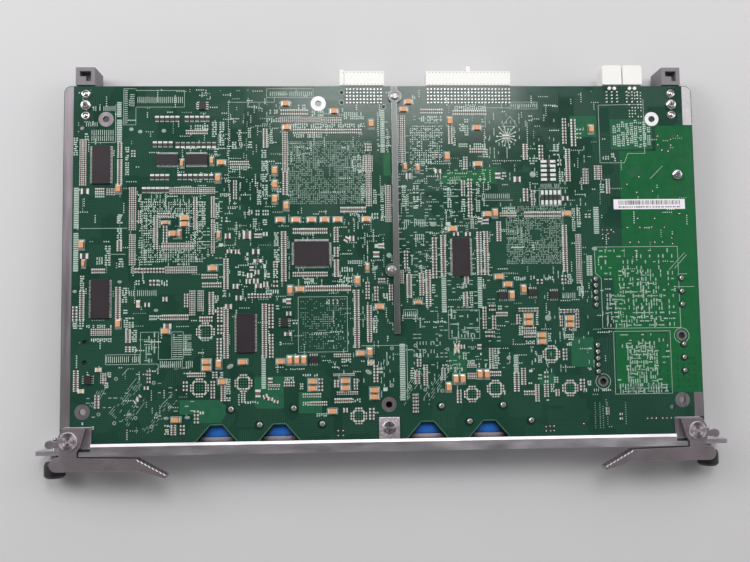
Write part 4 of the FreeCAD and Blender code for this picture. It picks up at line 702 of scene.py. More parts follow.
# Strips: side, width, front, rear
GREY_STRIPS = [(-1, 5.1, 12, BOARD_REAR), (1, 5.1, 13.5, 27.5)]
PALE_STRIPS = [(1, 5.3, 184.5, BOARD_REAR)]
# Rings and holes: x, y, outer radius
# The rear rings are drawn brighter than the grey ones as a painted reflection
SHEEN_LIT_RINGS = [(-37.6, 197.6, 4.4), (159.05, 188.1, 4.2)]
GREY_RINGS = [(-159.45, 188.6, 4.3), (-171.05, 21.7, 4.3), (171.05, 23.2, 4.3), (1.2, 23.2, 4.3)]
BRICK_RINGS = [(*POUR_HOLE, 3.0), (*BRICK_HOLE, 3.0)]
BLIND_TOOLING = [(-170.15, 60.7, 1.4), (-170.15, 49.3, 1.4)]
TOOLING_HOLES = [(164.95, 19.1, 1.4), (-173.25, 183.8, 1.4), *BLIND_TOOLING]
ALL_HOLES = SHEEN_LIT_RINGS + GREY_RINGS + BRICK_RINGS + TOOLING_HOLES
RING_SIDES = 36
PORTS = [-96.4, -61.0, 23.0, 58.4]
NOTCH_MOUTH = 29.2
NOTCH_END = 7.0
NOTCH_DEPTH = 12.7
RIM = 0.45
# Room that marks leave to holes, and to the slanting sides of notches
CLEAR = 0.8
NOTCH_CLEAR = CLEAR * 1.4


def edge_strip(heap, side, width, front, rear):
    """A strip along one side edge; one that reaches the rear follows the rounded corner."""
    outer, inner = BOARD_HALF - STRIP_IN, BOARD_HALF - STRIP_IN - width
    outline = [(inner, front), (outer, front)]
    if rear < BOARD_REAR:
        outline += [(outer, rear), (inner, rear)]
    else:
        radius = CORNER - STRIP_IN
        for step in range(CORNER_STEPS + 1):
            angle = math.pi / 2 * step / CORNER_STEPS
            outline.append((outer - radius + radius * math.cos(angle),
                            rear - CORNER + radius * math.sin(angle)))
        outline.append((inner, rear - STRIP_IN))
    outline = [(side * x, y) for x, y in outline]
    heap.prism(outline if side > 0 else outline[::-1], TOP, TOP + PAD)


def tinned_strips():
    grey, pale, white = Heap(), Heap(), Heap()
    for strip in GREY_STRIPS:
        edge_strip(grey, *strip)
    for strip in PALE_STRIPS:
        edge_strip(pale, *strip)
    for heap, rings in ((grey, GREY_RINGS + BRICK_RINGS), (white, SHEEN_LIT_RINGS)):
        for x, y, radius in rings:
            heap.ring(x, y, HOLE_RADIUS, radius, PAD, RING_SIDES)
    piece("grey_tinning", grey, strip_metal)
    piece("pale_tinning", pale, pale_tin)
    piece("rings_with_painted_sheen", white, sheen_lit_tin)


def notch_half(y):
    """Half the width of a port notch at a place y."""
    share = max(0.0, y - BOARD_FRONT) / NOTCH_DEPTH
    return (NOTCH_MOUTH + (NOTCH_END - NOTCH_MOUTH) * share) / 2


def notch_rims():
    """A bare line of laminate along the cut edges of each notch."""
    heap = Heap()
    front, rear = BOARD_FRONT + RIM, BOARD_FRONT + NOTCH_DEPTH + RIM
    for port in PORTS:
        ends = [(port + side * (notch_half(y) + RIM), y)
                for side, y in ((-1, front), (-1, rear), (1, rear), (1, front))]
        for start, end in zip(ends, ends[1:]):
            heap.stroke(start, end, RIM)
    piece("notch_rims", heap, rim_green)


def free(x, y):
    """Whether a place is clear of the board's holes and notches."""
    if y < BOARD_FRONT + NOTCH_DEPTH + CLEAR:
        if any(abs(x - port) < notch_half(y) + NOTCH_CLEAR for port in PORTS):
            return False
    return all(math.dist((x, y), hole[:2]) > hole[2] + CLEAR for hole in ALL_HOLES)


tinned_strips()
notch_rims()

# Small parts of the solder side

# Chip parts by kind: pitch in a stack, height; pale and ladder ones are bare pads, which need no height
TAN, DARK, PALE, BIG, BEIGE, LADDER = "tan", "dark", "pale", "big", "beige", "ladder"
PITCHES = {TAN: 1.2, DARK: 1.75, PALE: 1.25, BIG: 1.75, LADDER: 1.05}
HEIGHTS = {TAN: 0.45, DARK: 0.6, BIG: 0.75, BEIGE: 0.8}
LANE = 2.1
WIDEST_LANE = 3.4
LANE_GAP = 0.25
# Share of the pitch that a part fills, and the least share of its length
FILL = 0.62
SHORTEST_PART = 0.94

# Stacks of parts that lie along the panel: x, first y, last y, width over all lanes, kind
STACKS = [
    # rear left
    (-152, 190.3, 198.3, 2.6, LADDER), (-151.8, 175.5, 188, 3.0, LADDER), (-151.5, 166.5, 174.5, 2.8, TAN),
    (-151.5, 151, 164.8, 3.0, TAN), (-172.3, 150.5, 176.5, 4.2, TAN), (-176.5, 168, 177.5, 2.4, PALE),
    (-170.3, 177, 180, 2.2, PALE), (-147.3, 165, 172, 2.2, PALE), (-147.3, 156.5, 163, 2.2, PALE),
    (-143.8, 167, 170, 2.4, TAN), (-97.6, 178.5, 186.5, 2.8, PALE), (-93.3, 173.5, 186.5, 2.8, PALE),
    (-96.5, 168, 171, 2.6, PALE), (-86.2, 171.5, 174.8, 2.6, PALE), (-77.2, 172, 175, 2.6, PALE),
    (-82.5, 172.3, 174.5, 1.8, PALE), (-83, 176, 183, 1.8, PALE), (-77.5, 178, 183, 1.8, PALE),
    (-68.4, 172, 182.5, 2.8, TAN), (-65, 172, 182, 1.9, PALE), (-57, 158, 180.5, 3.6, TAN),
    (-69.2, 158.5, 170, 2.9, PALE),
    # rear middle
    (-0.4, 169, 193.5, 2.6, LADDER), (2.4, 169, 182, 1.4, PALE), (-3, 170, 192, 0.9, PALE),
    (10.8, 163, 190, 4.6, TAN), (3.2, 173, 182, 1.2, PALE), (-9.2, 158, 166.5, 6.0, TAN),
    (-8.8, 170, 173.5, 4.2, BIG), (-14.2, 157, 167, 2.2, PALE), (-17, 158, 166, 1.8, PALE),
    (39.3, 174, 186, 2.6, TAN), (41.6, 173, 183, 1.6, PALE), (48.8, 179, 188, 2.4, PALE),
    (46, 181.5, 185, 3.0, PALE), (47.8, 159, 165.5, 2.6, TAN), (45, 160.5, 163.5, 1.8, PALE),
    (59.4, 170, 182, 0.9, PALE), (59.6, 166, 170, 3.2, PALE), (58.5, 184, 188, 1.2, PALE),
    # rear right
    (83.2, 164.5, 173, 3.0, TAN), (92.4, 164.5, 172, 2.8, BIG), (88, 161.8, 164.8, 5.5, PALE),
    (88, 187.5, 190, 5.0, PALE), (106.6, 174, 188, 2.6, BIG), (112, 172.5, 187.5, 3.2, DARK),
    (115.3, 177, 182, 3.0, PALE), (108.2, 151.5, 170, 3.0, TAN), (104, 151.5, 156.5, 2.6, PALE),
    (103.2, 161, 163.5, 2.4, BIG), (101.5, 167, 174, 3.4, PALE), (94.8, 187.5, 190.5, 0.8, PALE),
    # middle left
    (-175.7, 101.3, 122.5, 2.9, LADDER), (-175.7, 125.8, 148.5, 2.9, LADDER),
    (-144, 124.6, 148.5, 4.3, TAN), (-144, 104.5, 121.5, 4.0, TAN), (-140, 128.5, 134.5, 1.8, TAN),
    (-140, 141, 144.5, 2.0, PALE), (-151.2, 128.6, 133, 3.2, PALE), (-151.3, 118.7, 125, 2.8, PALE),
    (-151.3, 112.6, 118, 3.0, TAN), (-157.8, 103.2, 115, 3.2, PALE), (-150.3, 103.5, 109, 2.8, PALE),
    (-130.8, 113.6, 132.4, 2.6, TAN), (-128.6, 126, 132, 0.9, PALE), (-125.5, 117.6, 126, 2.6, DARK),
    (-108.4, 124.5, 142.5, 2.4, TAN), (-103.7, 126.3, 140, 2.2, PALE), (-98.5, 131.5, 143, 2.2, TAN),
    (-95.8, 131.8, 139, 2.4, PALE), (-98.4, 111, 129.6, 2.2, TAN), (-96.3, 123, 128, 2.0, PALE),
    (-85.8, 142.3, 152, 2.2, BIG), (-68.7, 142, 156, 3.2, PALE), (-72, 139, 146.5, 2.4, PALE),
    (-58.1, 94.5, 122.5, 3.2, TAN), (-62.3, 115, 122, 2.6, PALE), (-62.3, 105.5, 114.8, 2.8, PALE),
    (-57, 144.5, 157, 3.2, TAN), (-60.5, 146, 149, 2.6, PALE), (-68.8, 127, 129.5, 2.6, PALE),
    (-74.5, 126, 130, 2.2, PALE), (-172, 90.3, 98, 2.4, PALE), (-172, 73.6, 89.6, 3.0, TAN),
    (-172, 68.6, 72.8, 2.6, PALE), (-175.8, 73.5, 80.5, 3.0, BIG), (-175.7, 68.8, 72.4, 2.6, PALE),
    (-151.8, 74, 91.4, 3.2, TAN), (-148.2, 82, 91, 3.0, PALE), (-147.5, 77, 80, 2.6, PALE),
    (-144.3, 69, 74, 3.0, PALE), (-146, 60.6, 67.4, 3.2, TAN), (-142.5, 61, 67, 3.0, PALE),
    (-146, 55.3, 57.7, 3.2, TAN), (-142.4, 55.4, 57.6, 3.0, PALE), (-147.3, 68, 74, 2.4, PALE),
    (-110, 75.6, 89, 3.6, TAN), (-105.3, 78, 89, 3.8, TAN), (-99.3, 76, 88, 3.0, TAN),
    (-96.3, 81.5, 86, 2.4, PALE), (-113.5, 80.5, 87, 2.4, BIG), (-94.5, 71.8, 79, 3.0, BIG),
    (-94.5, 65, 69, 2.8, BIG), (-94.8, 51, 61.5, 3.0, BIG), (-91, 51, 79.5, 3.0, TAN),
    (-91, 90.4, 107, 3.0, TAN), (-92, 86, 89, 2.2, PALE), (-69.3, 51, 81, 3.0, TAN),
    (-65.5, 68, 80.5, 3.0, BIG), (-65.4, 51.2, 63.5, 2.6, BIG), (-62.8, 96.5, 101, 2.8, PALE),
    (-62.8, 91.5, 94, 2.8, BIG), (-62.8, 102.5, 105, 2.8, TAN), (-61.8, 77, 80, 2.0, PALE),
    (-67.5, 89, 91, 2.0, PALE),
    # middle of the card
    (-8.8, 137.5, 157, 3.7, TAN), (-12.3, 141, 150, 2.2, PALE), (-5.3, 139, 146.5, 2.0, PALE),
    (2.4, 128.3, 149, 3.8, TAN), (-1.2, 129, 148.5, 1.9, PALE), (-28, 116.8, 124.5, 2.9, TAN),
    (-28, 108.5, 113, 2.9, BIG), (-28, 96.8, 106, 2.9, TAN), (-25.8, 93.5, 97, 2.2, PALE),
    (12.2, 101.3, 110.5, 2.4, BIG), (15.7, 103.3, 109, 1.0, PALE), (9.8, 92.6, 99.5, 2.0, TAN),
    (13.7, 97.3, 101, 2.0, PALE), (13.8, 84.2, 97, 3.2, TAN), (21, 85.5, 97.5, 2.8, TAN),
    (24.8, 79.2, 99.5, 3.2, TAN), (28.7, 95.5, 118, 2.9, BIG), (33.8, 96.5, 119.6, 3.2, TAN),
    (33.8, 75.6, 96, 2.8, LADDER), (20.8, 98.5, 105, 1.3, PALE), (27.9, 86.8, 91, 1.9, PALE),
    (46.1, 143.3, 151.3, 2.4, BIG), (50, 143, 152.3, 2.6, BIG), (54.8, 144.5, 150.6, 1.9, PALE),
    (46, 134, 142, 2.4, PALE), (50, 131, 141, 2.6, BIG), (54.7, 134, 140, 2.4, PALE),
    (51, 124, 130, 1.9, PALE), (66.5, 116.6, 127.3, 2.8, TAN), (54.8, 97, 121.4, 3.0, TAN),
    (58.8, 97, 121.6, 2.8, TAN), (54.7, 78, 95, 2.6, LADDER), (46.2, 79.2, 86.3, 3.0, TAN),
    (49.6, 79.4, 86, 2.0, PALE), (47, 92, 95.5, 3.0, TAN), (46, 89.8, 92, 2.4, PALE),
    (11.5, 136, 149, 2.2, PALE), (18.5, 136, 150, 3.4, PALE), (38, 136.5, 147.5, 2.4, PALE),
    (-16.6, 56, 88.4, 3.3, TAN), (-9.4, 60, 79.4, 3.0, TAN), (-9.4, 58, 60, 2.4, PALE),
    (-6.1, 64.5, 78.5, 2.4, PALE), (-10.2, 84, 92.6, 2.4, BIG), (-5.2, 83, 90, 2.4, BIG),
    (0, 84, 86.2, 3.0, PALE), (3.2, 83, 91, 2.4, BIG), (57, 66, 77.5, 2.2, BIG),
    (62.5, 65.8, 72.5, 2.4, BIG), (60, 61.3, 63.6, 5.6, BIG), (61.6, 76.4, 78.8, 4.0, BIG),
    # middle right
    (82.7, 140, 146.4, 3.2, BIG), (87, 137.5, 145.4, 2.4, BIG), (105, 98.5, 125, 3.0, TAN),
    (113, 91.5, 119.5, 3.6, TAN), (110.6, 121, 136, 1.9, PALE), (119.1, 96, 107, 3.6, LADDER),
    (113.6, 124.5, 135, 2.2, PALE), (119, 130, 133, 3.4, PALE), (124, 120.5, 135.5, 3.2, LADDER),
    (118.5, 150, 158, 3.6, BIG), (126, 152.5, 160, 5.0, TAN), (131.6, 144.2, 152, 2.4, TAN),
    (128, 144.7, 149, 2.8, PALE), (113.8, 84.3, 89, 3.0, PALE), (103.8, 91.5, 95.5, 2.8, BIG),
    (107.2, 91.3, 96.2, 2.4, PALE), (76.5, 68.5, 73, 2.2, BIG), (87.6, 66.5, 75.5, 1.6, PALE),
    (111, 66, 75, 2.2, BIG), (101.6, 67, 72, 1.8, BIG), (94.6, 58.2, 62.2, 1.9, PALE),
    (78, 62, 66.5, 2.4, PALE),
    # front left and middle
    (-174.8, 33.6, 44.6, 3.2, TAN), (-159.6, 38, 43, 3.6, TAN), (-156.3, 41.3, 43.4, 2.0, PALE),
    (-157.9, 35.3, 37.6, 2.2, PALE), (-163, 24.2, 30.4, 2.9, BIG), (-134.3, 38, 44, 2.2, BIG),
    (-113.8, 33.2, 37.4, 2.8, BIG), (-124.2, 8.8, 13.4, 2.6, PALE), (-120.4, 8.5, 13.4, 3.2, TAN),
    (-115.4, 9, 13, 2.8, BIG), (-107.6, 15, 21, 2.8, BIG), (-98.4, 28.8, 37.4, 2.6, BIG),
    (-92.6, 27, 35, 2.9, TAN), (-89.7, 27, 38.6, 2.4, PALE), (-69.8, 33.6, 52, 2.5, LADDER),
    (-81.3, 26, 32, 2.4, TAN), (-83.8, 24.5, 30, 0.9, PALE), (-97.3, 40, 42.8, 3.0, TAN),
    (-93.8, 40, 42.6, 2.4, PALE), (-28.6, 34, 37, 2.8, BIG), (-17.6, 32.5, 37.6, 2.4, BIG),
    (-8.7, 15.4, 20.8, 3.2, BIG), (-5.9, 18.7, 20, 1.9, PALE), (-8.8, 46, 48.2, 4.2, BIG),
    (-6.1, 36.5, 45, 2.8, BIG), (-37.5, 32, 38, 2.6, BIG), (-48.4, 33, 35.5, 2.0, PALE),
    # front right
    (9.2, 25.8, 57.2, 3.2, LADDER), (16.4, 19, 28.5, 3.6, BIG), (18.7, 45, 48.2, 2.6, BIG),
    (18.4, 50.5, 51.6, 3.4, PALE), (22.4, 34, 45, 2.6, TAN), (17.6, 35, 41.5, 3.2, TAN),
    (14.6, 38, 43.5, 2.0, PALE), (41.4, 24, 30.4, 2.8, BIG), (74.7, 29.8, 39.8, 3.4, TAN),
    (74.7, 40.6, 50, 2.8, LADDER), (78.8, 33.6, 42.4, 2.9, TAN), (86.5, 23.9, 33, 2.6, TAN),
    (91.8, 26.5, 33, 2.9, TAN), (60.4, 43, 54, 2.6, TAN), (63.6, 46, 54, 2.9, PALE),
    (92, 37.5, 40, 2.4, BIG), (98.2, 27, 29.8, 2.4, BIG), (95.4, 28, 33, 2.2, PALE),
    (92.8, 21.4, 24.2, 2.2, PALE), (97.6, 34.5, 37, 2.6, PALE), (112.8, 30, 35.4, 3.0, BIG),
    (116.9, 32.6, 34.6, 2.0, PALE), (127, 16, 19, 2.0, BIG), (134.8, 13, 15.6, 1.8, BIG),
    (103.2, 47.5, 53, 2.6, BIG), (88.6, 46, 49.5, 2.4, PALE), (88.2, 36.6, 38.6, 2.2, PALE),
    (40.6, 52.3, 56.7, 3.0, BIG), (32.6, 37, 43, 2.4, TAN), (105.8, 58.8, 61.4, 6.0, PALE),
]
# Rows of parts that lie along the card: y, first x, last x, depth over all lanes, kind
ROWS = [
    # rear
    (181, -113.5, -101.8, 2.6, TAN), (183.8, -108.4, -101.6, 2.8, PALE), (162.8, -88.4, -78.2, 2.4, TAN),
    (159.8, -88.2, -78.2, 2.4, PALE), (192.8, -65.4, -60.3, 2.6, PALE), (192.6, -59, -44, 3.4, TAN),
    (188.2, -59.5, -36, 3.6, TAN), (188, -67.3, -60.6, 2.4, PALE), (184.5, -52, -36.5, 3.2, PALE),
    (181.3, -52, -13, 2.8, TAN), (178.6, -51.5, -36, 2.2, PALE), (187.8, -35.5, -24.5, 3.6, TAN),
    (184.6, -36, -13, 2.4, PALE), (190.4, -22.4, -11.6, 4.4, PALE), (195.8, -49, -44.2, 2.6, PALE),
    (191.8, -41, -35, 3.4, PALE), (193, 22.3, 34.5, 3.0, TAN), (188.6, 22.6, 33.8, 3.4, PALE),
    (192.2, 41.3, 60.4, 3.0, TAN), (195, 42.4, 60.2, 2.2, PALE), (196.8, 48.8, 54.4, 1.0, PALE),
    (169.6, 50.8, 59.6, 2.6, TAN), (172.6, 50.8, 59.4, 2.6, PALE), (172.8, 44.4, 48.8, 2.2, PALE),
    (166.4, 28.9, 33, 2.4, BIG), (201.5, 17.6, 22, 2.2, PALE), (163.7, 25, 27.6, 2.4, PALE),
    (165, 129.4, 132.4, 2.2, PALE), (166.4, 133.4, 135.6, 2.4, PALE), (164, 136.4, 138.2, 2.2, PALE),
    # middle
    (146.8, -122.8, -97.6, 4.2, TAN), (147.3, -164.8, -160.4, 2.6, TAN), (144.5, -164.8, -160.4, 2.6, PALE),
    (146.4, -158.4, -154.4, 4.2, TAN), (106.8, -163.7, -161, 4.4, PALE), (132.8, -129, -122.6, 2.6, TAN),
    (114.8, -127, -110, 4.2, TAN), (132.6, -121.2, -113, 2.4, PALE), (144.2, -94, -89.6, 1.9, PALE),
    (130, -93.4, -90.6, 2.8, PALE), (133.8, -77.6, -67, 3.2, PALE), (133.4, -80.2, -78.2, 1.8, BIG),
    (123, -52.4, -33.4, 3.4, TAN), (135.2, -25, -11, 3.4, TAN), (131.5, -7, -4, 3.4, PALE),
    (132.3, -19.5, -13.5, 1.8, PALE), (131.8, 82, 102.6, 3.4, TAN), (131.8, 67.6, 76.6, 2.4, TAN),
    (134.6, 69, 76, 2.6, PALE), (101, -166.4, -159.6, 2.8, TAN), (101, -142, -126.4, 3.0, BIG),
    (101.2, -125, -107.8, 4.2, TAN), (69.6, -169, -155.6, 1.7, PALE), (66.3, -166.4, -155.6, 4.2, TAN),
    (61.8, -166.3, -155.6, 2.2, PALE), (94.2, -141.6, -137.4, 2.7, PALE), (94, -133.6, -129.6, 3.4, BIG),
    (93.8, -128.6, -124.4, 3.4, PALE), (74.2, -133.8, -128, 2.8, PALE), (74.2, -126.8, -112.6, 3.2, TAN),
    (98, -52.6, -33.4, 2.8, TAN), (94.4, -46, -41.4, 2.8, PALE), (89.8, -45.4, -20.2, 3.4, TAN),
    (85.9, -78, -66, 2.6, BIG), (97.4, -104.4, -96.4, 2.6, TAN), (92.4, -104, -94, 2.8, TAN),
    (73, -105.6, -99, 3.0, TAN), (100.6, -24.6, -19, 2.8, PALE), (94.6, -23.6, -19.4, 3.2, PALE),
    (104.8, -21, -11, 2.0, PALE), (94, -3.6, -0.6, 2.6, BIG), (94.3, 75, 81, 2.3, PALE),
    (94.7, 84.6, 86.4, 2.3, PALE), (94.3, 93.2, 97.2, 2.3, PALE), (92.4, 88.4, 90.8, 2.8, BIG),
    (76.2, 77.4, 87.8, 2.4, BIG), (64.8, 78.8, 86.4, 2.6, TAN), (61.6, 80, 86, 3.0, TAN),
    (57.4, 81, 85.4, 2.2, PALE), (75.2, 101.6, 111, 2.2, BIG), (64.6, 102.6, 110, 1.8, PALE),
    (56.2, 104.8, 108, 2.0, PALE), (77.6, 65.4, 68, 2.4, PALE), (73.8, 64.2, 70, 2.6, TAN),
    # front
    (41.6, -112.4, -103, 2.5, TAN), (25.6, -80, -73.2, 1.6, PALE), (29, -47.4, -37.8, 2.3, TAN),
    (24.4, -47.4, -43.6, 2.2, PALE), (24.4, -42.6, -34.4, 2.4, TAN), (35.6, -58, -52.8, 2.8, TAN),
    (38.6, -57.6, -53.2, 2.2, PALE), (18, -39.6, -34.6, 1.9, PALE), (40.4, -48.6, -37, 1.5, PALE),
    (34.8, -67, -61, 1.6, TAN), (33, -67, -61.4, 0.9, PALE), (51.4, -29.6, -20.6, 2.0, TAN),
    (48.4, -25.2, -20.6, 2.4, PALE), (45.6, -31.2, -29.4, 2.8, PALE), (40.4, -30, -18.6, 1.5, TAN),
    (30, -28, -16.8, 1.9, TAN), (25.8, -29.4, -20.4, 2.8, TAN), (25.8, -19.4, -15.4, 2.2, PALE),
    (44, -57, -47, 0.9, PALE), (42.6, -4.6, -2.6, 3.2, PALE), (39.7, 59.6, 65.4, 2.8, TAN),
    (28.5, 79.2, 84.6, 2.6, TAN), (38.6, 46.8, 51.4, 3.8, TAN), (44.2, 46.6, 51.4, 1.8, TAN),
    (46.6, 47, 51.4, 2.4, PALE), (43.8, 59.6, 63.6, 2.4, PALE), (50, 44.4, 45.8, 4.0, PALE),
    (42.6, 35.4, 37, 4.2, PALE), (88, -68, -60.2, 2.8, PALE), (82, -33.6, -27.6, 2.8, PALE),
    (29.6, 112, 115, 2.2, PALE),
]
# Rows of four-fold resistors: y, first x, last x, and on which side their bright feet show
ARRAYS = [
    (188.5, -130.4, -118.8, 1), (188.5, -113.4, -101.6, 1), (173.6, -131.6, -122.6, 1),
    (173.6, -118.6, -97.8, -1), (154.5, -133, -124.4, 1), (154.5, -117.4, -99.4, 1),
    (147, -137.6, -124.6, 1),
]
ARRAY_PITCH = 2.85
ARRAY_SIZE = (2.3, 2.9, 0.55)
# Five large level parts and five large upright ones, each a dark body between two long feet
LARGE_LEVEL = (96.5, 152.3, 162.9)
LARGE_UPRIGHT = (141.6, 92.5, 102.5)
LARGE_COUNT = 5
# Rings of parts round small modules of the other side: middle x, middle y, across
PART_RINGS = [
    (-102.6, 65.8, 9.4), (-105.9, 34.2, 9.4), (-81.2, 36.5, 8.8), (-16.1, 17, 8.2),
    (95.3, 50.4, 9.0), (105.7, 30.9, 8.2), (62.4, 31.2, 8.8), (48.9, 28.3, 8.2),
]
# Single parts: x, y, length, width, turn, kind
SINGLE_PARTS = [
    (-171, 146.7, 4.6, 3.0, 0, DARK), (-171, 109.6, 4.6, 2.8, 0, DARK), (-135.4, 81.5, 3.0, 2.2, 0, DARK),
    (-142.8, 25, 2.6, 1.6, 40, PALE), (-141.2, 27.3, 2.6, 1.6, 40, TAN), (-139.7, 29.6, 2.6, 1.6, 40, BIG),
    (-135.6, 34.6, 2.8, 1.8, 0, BIG), (-79, 121, 4.8, 4.4, 0, BIG), (-72.6, 120.4, 2.6, 4.2, 90, BIG),
    (-68.6, 121.4, 2.8, 2.4, 0, PALE), (-90, 120.4, 3.4, 2.8, 0, BIG), (-94.4, 115.4, 3.4, 2.0, 0, PALE),
    (-89, 111.5, 3.2, 2.0, 0, BIG), (-84.6, 111.3, 2.6, 2.4, 0, BIG), (-74, 111.3, 4.2, 2.8, 0, DARK),
    (-73, 106, 4.8, 1.8, 0, TAN), (-78.8, 108.5, 4.6, 1.1, 90, PALE), (-89.6, 80, 4.0, 2.6, 0, BIG),
    (-76.4, 101.5, 2.6, 2.2, 90, BIG), (-73.4, 99.5, 2.8, 2.4, 0, BIG), (-77.6, 97.6, 3.0, 2.6, 0, TAN),
    (-69, 103, 2.6, 1.8, 90, PALE), (-83.4, 99, 2.4, 1.8, 90, PALE), (-81.2, 98.6, 2.4, 1.0, 90, PALE),
    (-68.6, 97.6, 2.6, 1.4, 90, PALE), (-66.8, 97.6, 2.6, 1.4, 90, PALE), (-74, 94.4, 3.2, 2.6, 0, BIG),
    (-78.4, 94.2, 2.8, 2.6, 0, BIG), (-72.6, 91.6, 4.0, 2.4, 0, BIG), (-76.8, 91.8, 2.4, 0.9, 90, PALE),
    (-68.4, 92.4, 2.8, 3.0, 0, BIG), (-85.6, 91.5, 3.2, 2.6, 0, BIG), (-83.8, 84.8, 3.6, 2.6, 0, DARK),
    (-97.4, 63, 2.8, 0.9, 90, PALE), (-97.6, 77.6, 2.4, 1.6, 0, BIG), (-55.4, 82.6, 3.4, 2.6, 90, BIG),
    (-58.2, 83, 2.6, 2.4, 0, PALE), (-55.4, 75.6, 3.0, 2.2, 0, BIG), (-56, 64, 4.2, 2.0, 0, BIG),
    (-60.2, 58.6, 2.0, 0.9, 90, PALE), (-51.8, 70, 2.6, 0.9, 0, PALE), (-124, 69.2, 4.6, 2.8, 0, BIG),
    (-125.4, 84.6, 2.8, 2.4, 0, BIG), (-2, 114, 2.8, 3.2, 90, TAN), (-4.9, 114, 2.4, 2.6, 0, PALE),
    (-5, 109, 3.6, 3.4, 90, BIG), (-22, 118, 3.0, 2.4, 60, BIG), (-19, 118.4, 3.0, 2.8, 0, BIG),
    (78, 152.4, 4.2, 3.0, 0, BIG), (66.6, 154.6, 3.6, 3.0, 90, BIG), (70.4, 156.2, 2.4, 0.9, 0, PALE),
    (70.4, 154.4, 2.4, 0.9, 0, PALE), (69.6, 152.8, 2.0, 0.9, 0, PALE), (106, 141, 3.8, 2.4, 0, DARK),
    (58.4, 127.6, 2.8, 4.2, 90, DARK), (55.6, 128.6, 2.8, 2.6, 90, BIG), (37.4, 126.6, 3.6, 2.4, 0, PALE),
    (35.8, 123.4, 3.0, 2.0, 90, PALE), (41.4, 120.6, 3.4, 2.0, 0, DARK), (48.4, 120.4, 3.4, 2.0, 0, DARK),
    (72, 177.6, 2.4, 3.8, 90, TAN), (31.6, 157.4, 3.8, 2.2, 0, BIG), (14.2, 154.6, 2.8, 3.2, 0, BIG),
    (-66, 37.8, 3.0, 2.4, 90, BIG), (-73, 30.5, 4.4, 2.8, 90, BIG), (-68.8, 28.8, 2.8, 2.2, 20, BIG),
    (-66, 27.4, 3.0, 1.8, -10, TAN), (-62.8, 25.8, 2.8, 1.6, -15, BIG), (-104.6, 20.2, 2.4, 1.6, 0, PALE),
    (-23.6, 20.4, 2.6, 2.4, 0, BIG), (-1.2, 31.8, 2.6, 2.4, 0, PALE), (82.6, 41, 2.8, 1.6, 0, PALE),
    (82.6, 34, 2.0, 0.9, 0, PALE), (92, 34.8, 2.2, 1.6, 0, PALE), (117.8, 41.4, 1.8, 0.9, 0, PALE),
    (118.4, 53.4, 2.8, 0.9, 0, PALE), (121, 78.6, 1.8, 1.0, 0, PALE), (85.9, 47, 2.4, 0.8, 90, PALE),
    (86.2, 51.4, 1.8, 0.8, 90, PALE), (53.3, 44.6, 2.4, 0.8, 90, PALE), (57, 44.6, 2.4, 0.8, 90, PALE),
    (39.5, 42.6, 2.4, 0.8, 90, PALE), (43.3, 42.6, 2.4, 0.8, 90, PALE), (54.4, 51, 1.4, 1.0, 90, PALE),
    (44, 55.4, 2.6, 2.2, 0, BIG), (53.6, 55.2, 3.0, 2.2, 90, BIG), (67.6, 29, 2.6, 0.9, 90, PALE),
    (-165, 12.8, 1.8, 1.0, 90, PALE), (-170.9, 15.4, 1.8, 0.9, 90, PALE), (-131.4, 44, 2.2, 0.8, 0, PALE),
]
# Beige ceramic parts between white ends: x, y, length, width, turn
BEIGE_PARTS = [
    (-162.4, 45.2, 3.8, 2.2, 0), (-172, 33.4, 3.8, 2.2, 0), (-140.4, 82, 4.4, 2.0, 90),
    (40.6, 54.5, 4.0, 2.8, 90), (-8.8, 47, 4.0, 2.2, 0),
]

# Chip parts: solder foot, its greatest share of the length, and the share of each tinned end
FOOT = 0.3
FOOT_SHARE = 0.1
END_SHARE = 0.24
# Ends against the body: breadth and height; solder feet: breadth and height
END_BROAD = 1.04
END_TALL = 0.92
FOOT_BROAD = 1.15
FOOT_TALL = 0.6
# Bare pads: draws under the first are left out, draws over the second are pairs if they are long enough
MISSING_PADS = 0.1
PAIRED_PADS = 0.45
LEAST_PAIR = 1.6
# Pairs of pads: place and length of each half; whole ones: least length and breadth
PAIR_PLACE = 0.31
PAIR_LONG = 0.38
LEAST_WHOLE = 0.62
WHOLE_BROAD = 0.85
# Feet of a four-fold resistor, as shares: distance from the middle, breadth, depth, height
FOLDS = 4
ARRAY_BODY = 0.55
BRIGHT_FEET = (0.48, 0.9, 0.42, 0.5)
DULL_FEET = (-0.4, 0.5, 0.25, 0.4)
# Large parts: length, breadth, and the ends of level and upright ones
LARGE_LONG = 8.8
LARGE_BROAD = 1.5
LEVEL_END = 3.1
UPRIGHT_END = 2.5
# Ring of parts: lanes to a side, their pitch, length and breadth of parts, and how far in they
# and the corner pads stand
RING_LANES = 3
RING_PITCH = 1.5
RING_PART = (2.1, 0.95)
RING_IN = 0.5
RING_CORNER = (1.9, 1.0)
RING_CORNER_IN = 1.5
MODULE_VIA = 0.36
# Part rows on the component face: distances from an array package, and depth of each row
UNDER_ROWS = (2.4, 5.0)
UNDER_LONG = 1.9
# Packages that end further under the board have no rows
TOUCH = 0.1
# Ranks of bars on the pour behind the label: left, right, front, rear, step, bar length
BAR_RANKS = (136.5, 157.0, 171.4, 187.4, 2.6, 1.9)
# How much shorter a rank may be at its front and rear
RAGGED_FRONT = 2.0
RAGGED_REAR = 3.0


class PartHeaps:
    """Bodies, ends, solder feet and bare pads of the chip parts on one face."""

    def __init__(self):
        self.bodies = {kind: Heap() for kind in HEIGHTS}
        self.ends, self.feet, self.pads = Heap(), Heap(), Heap()


solder_face, component_face = PartHeaps(), PartHeaps()
module_vias = Heap()


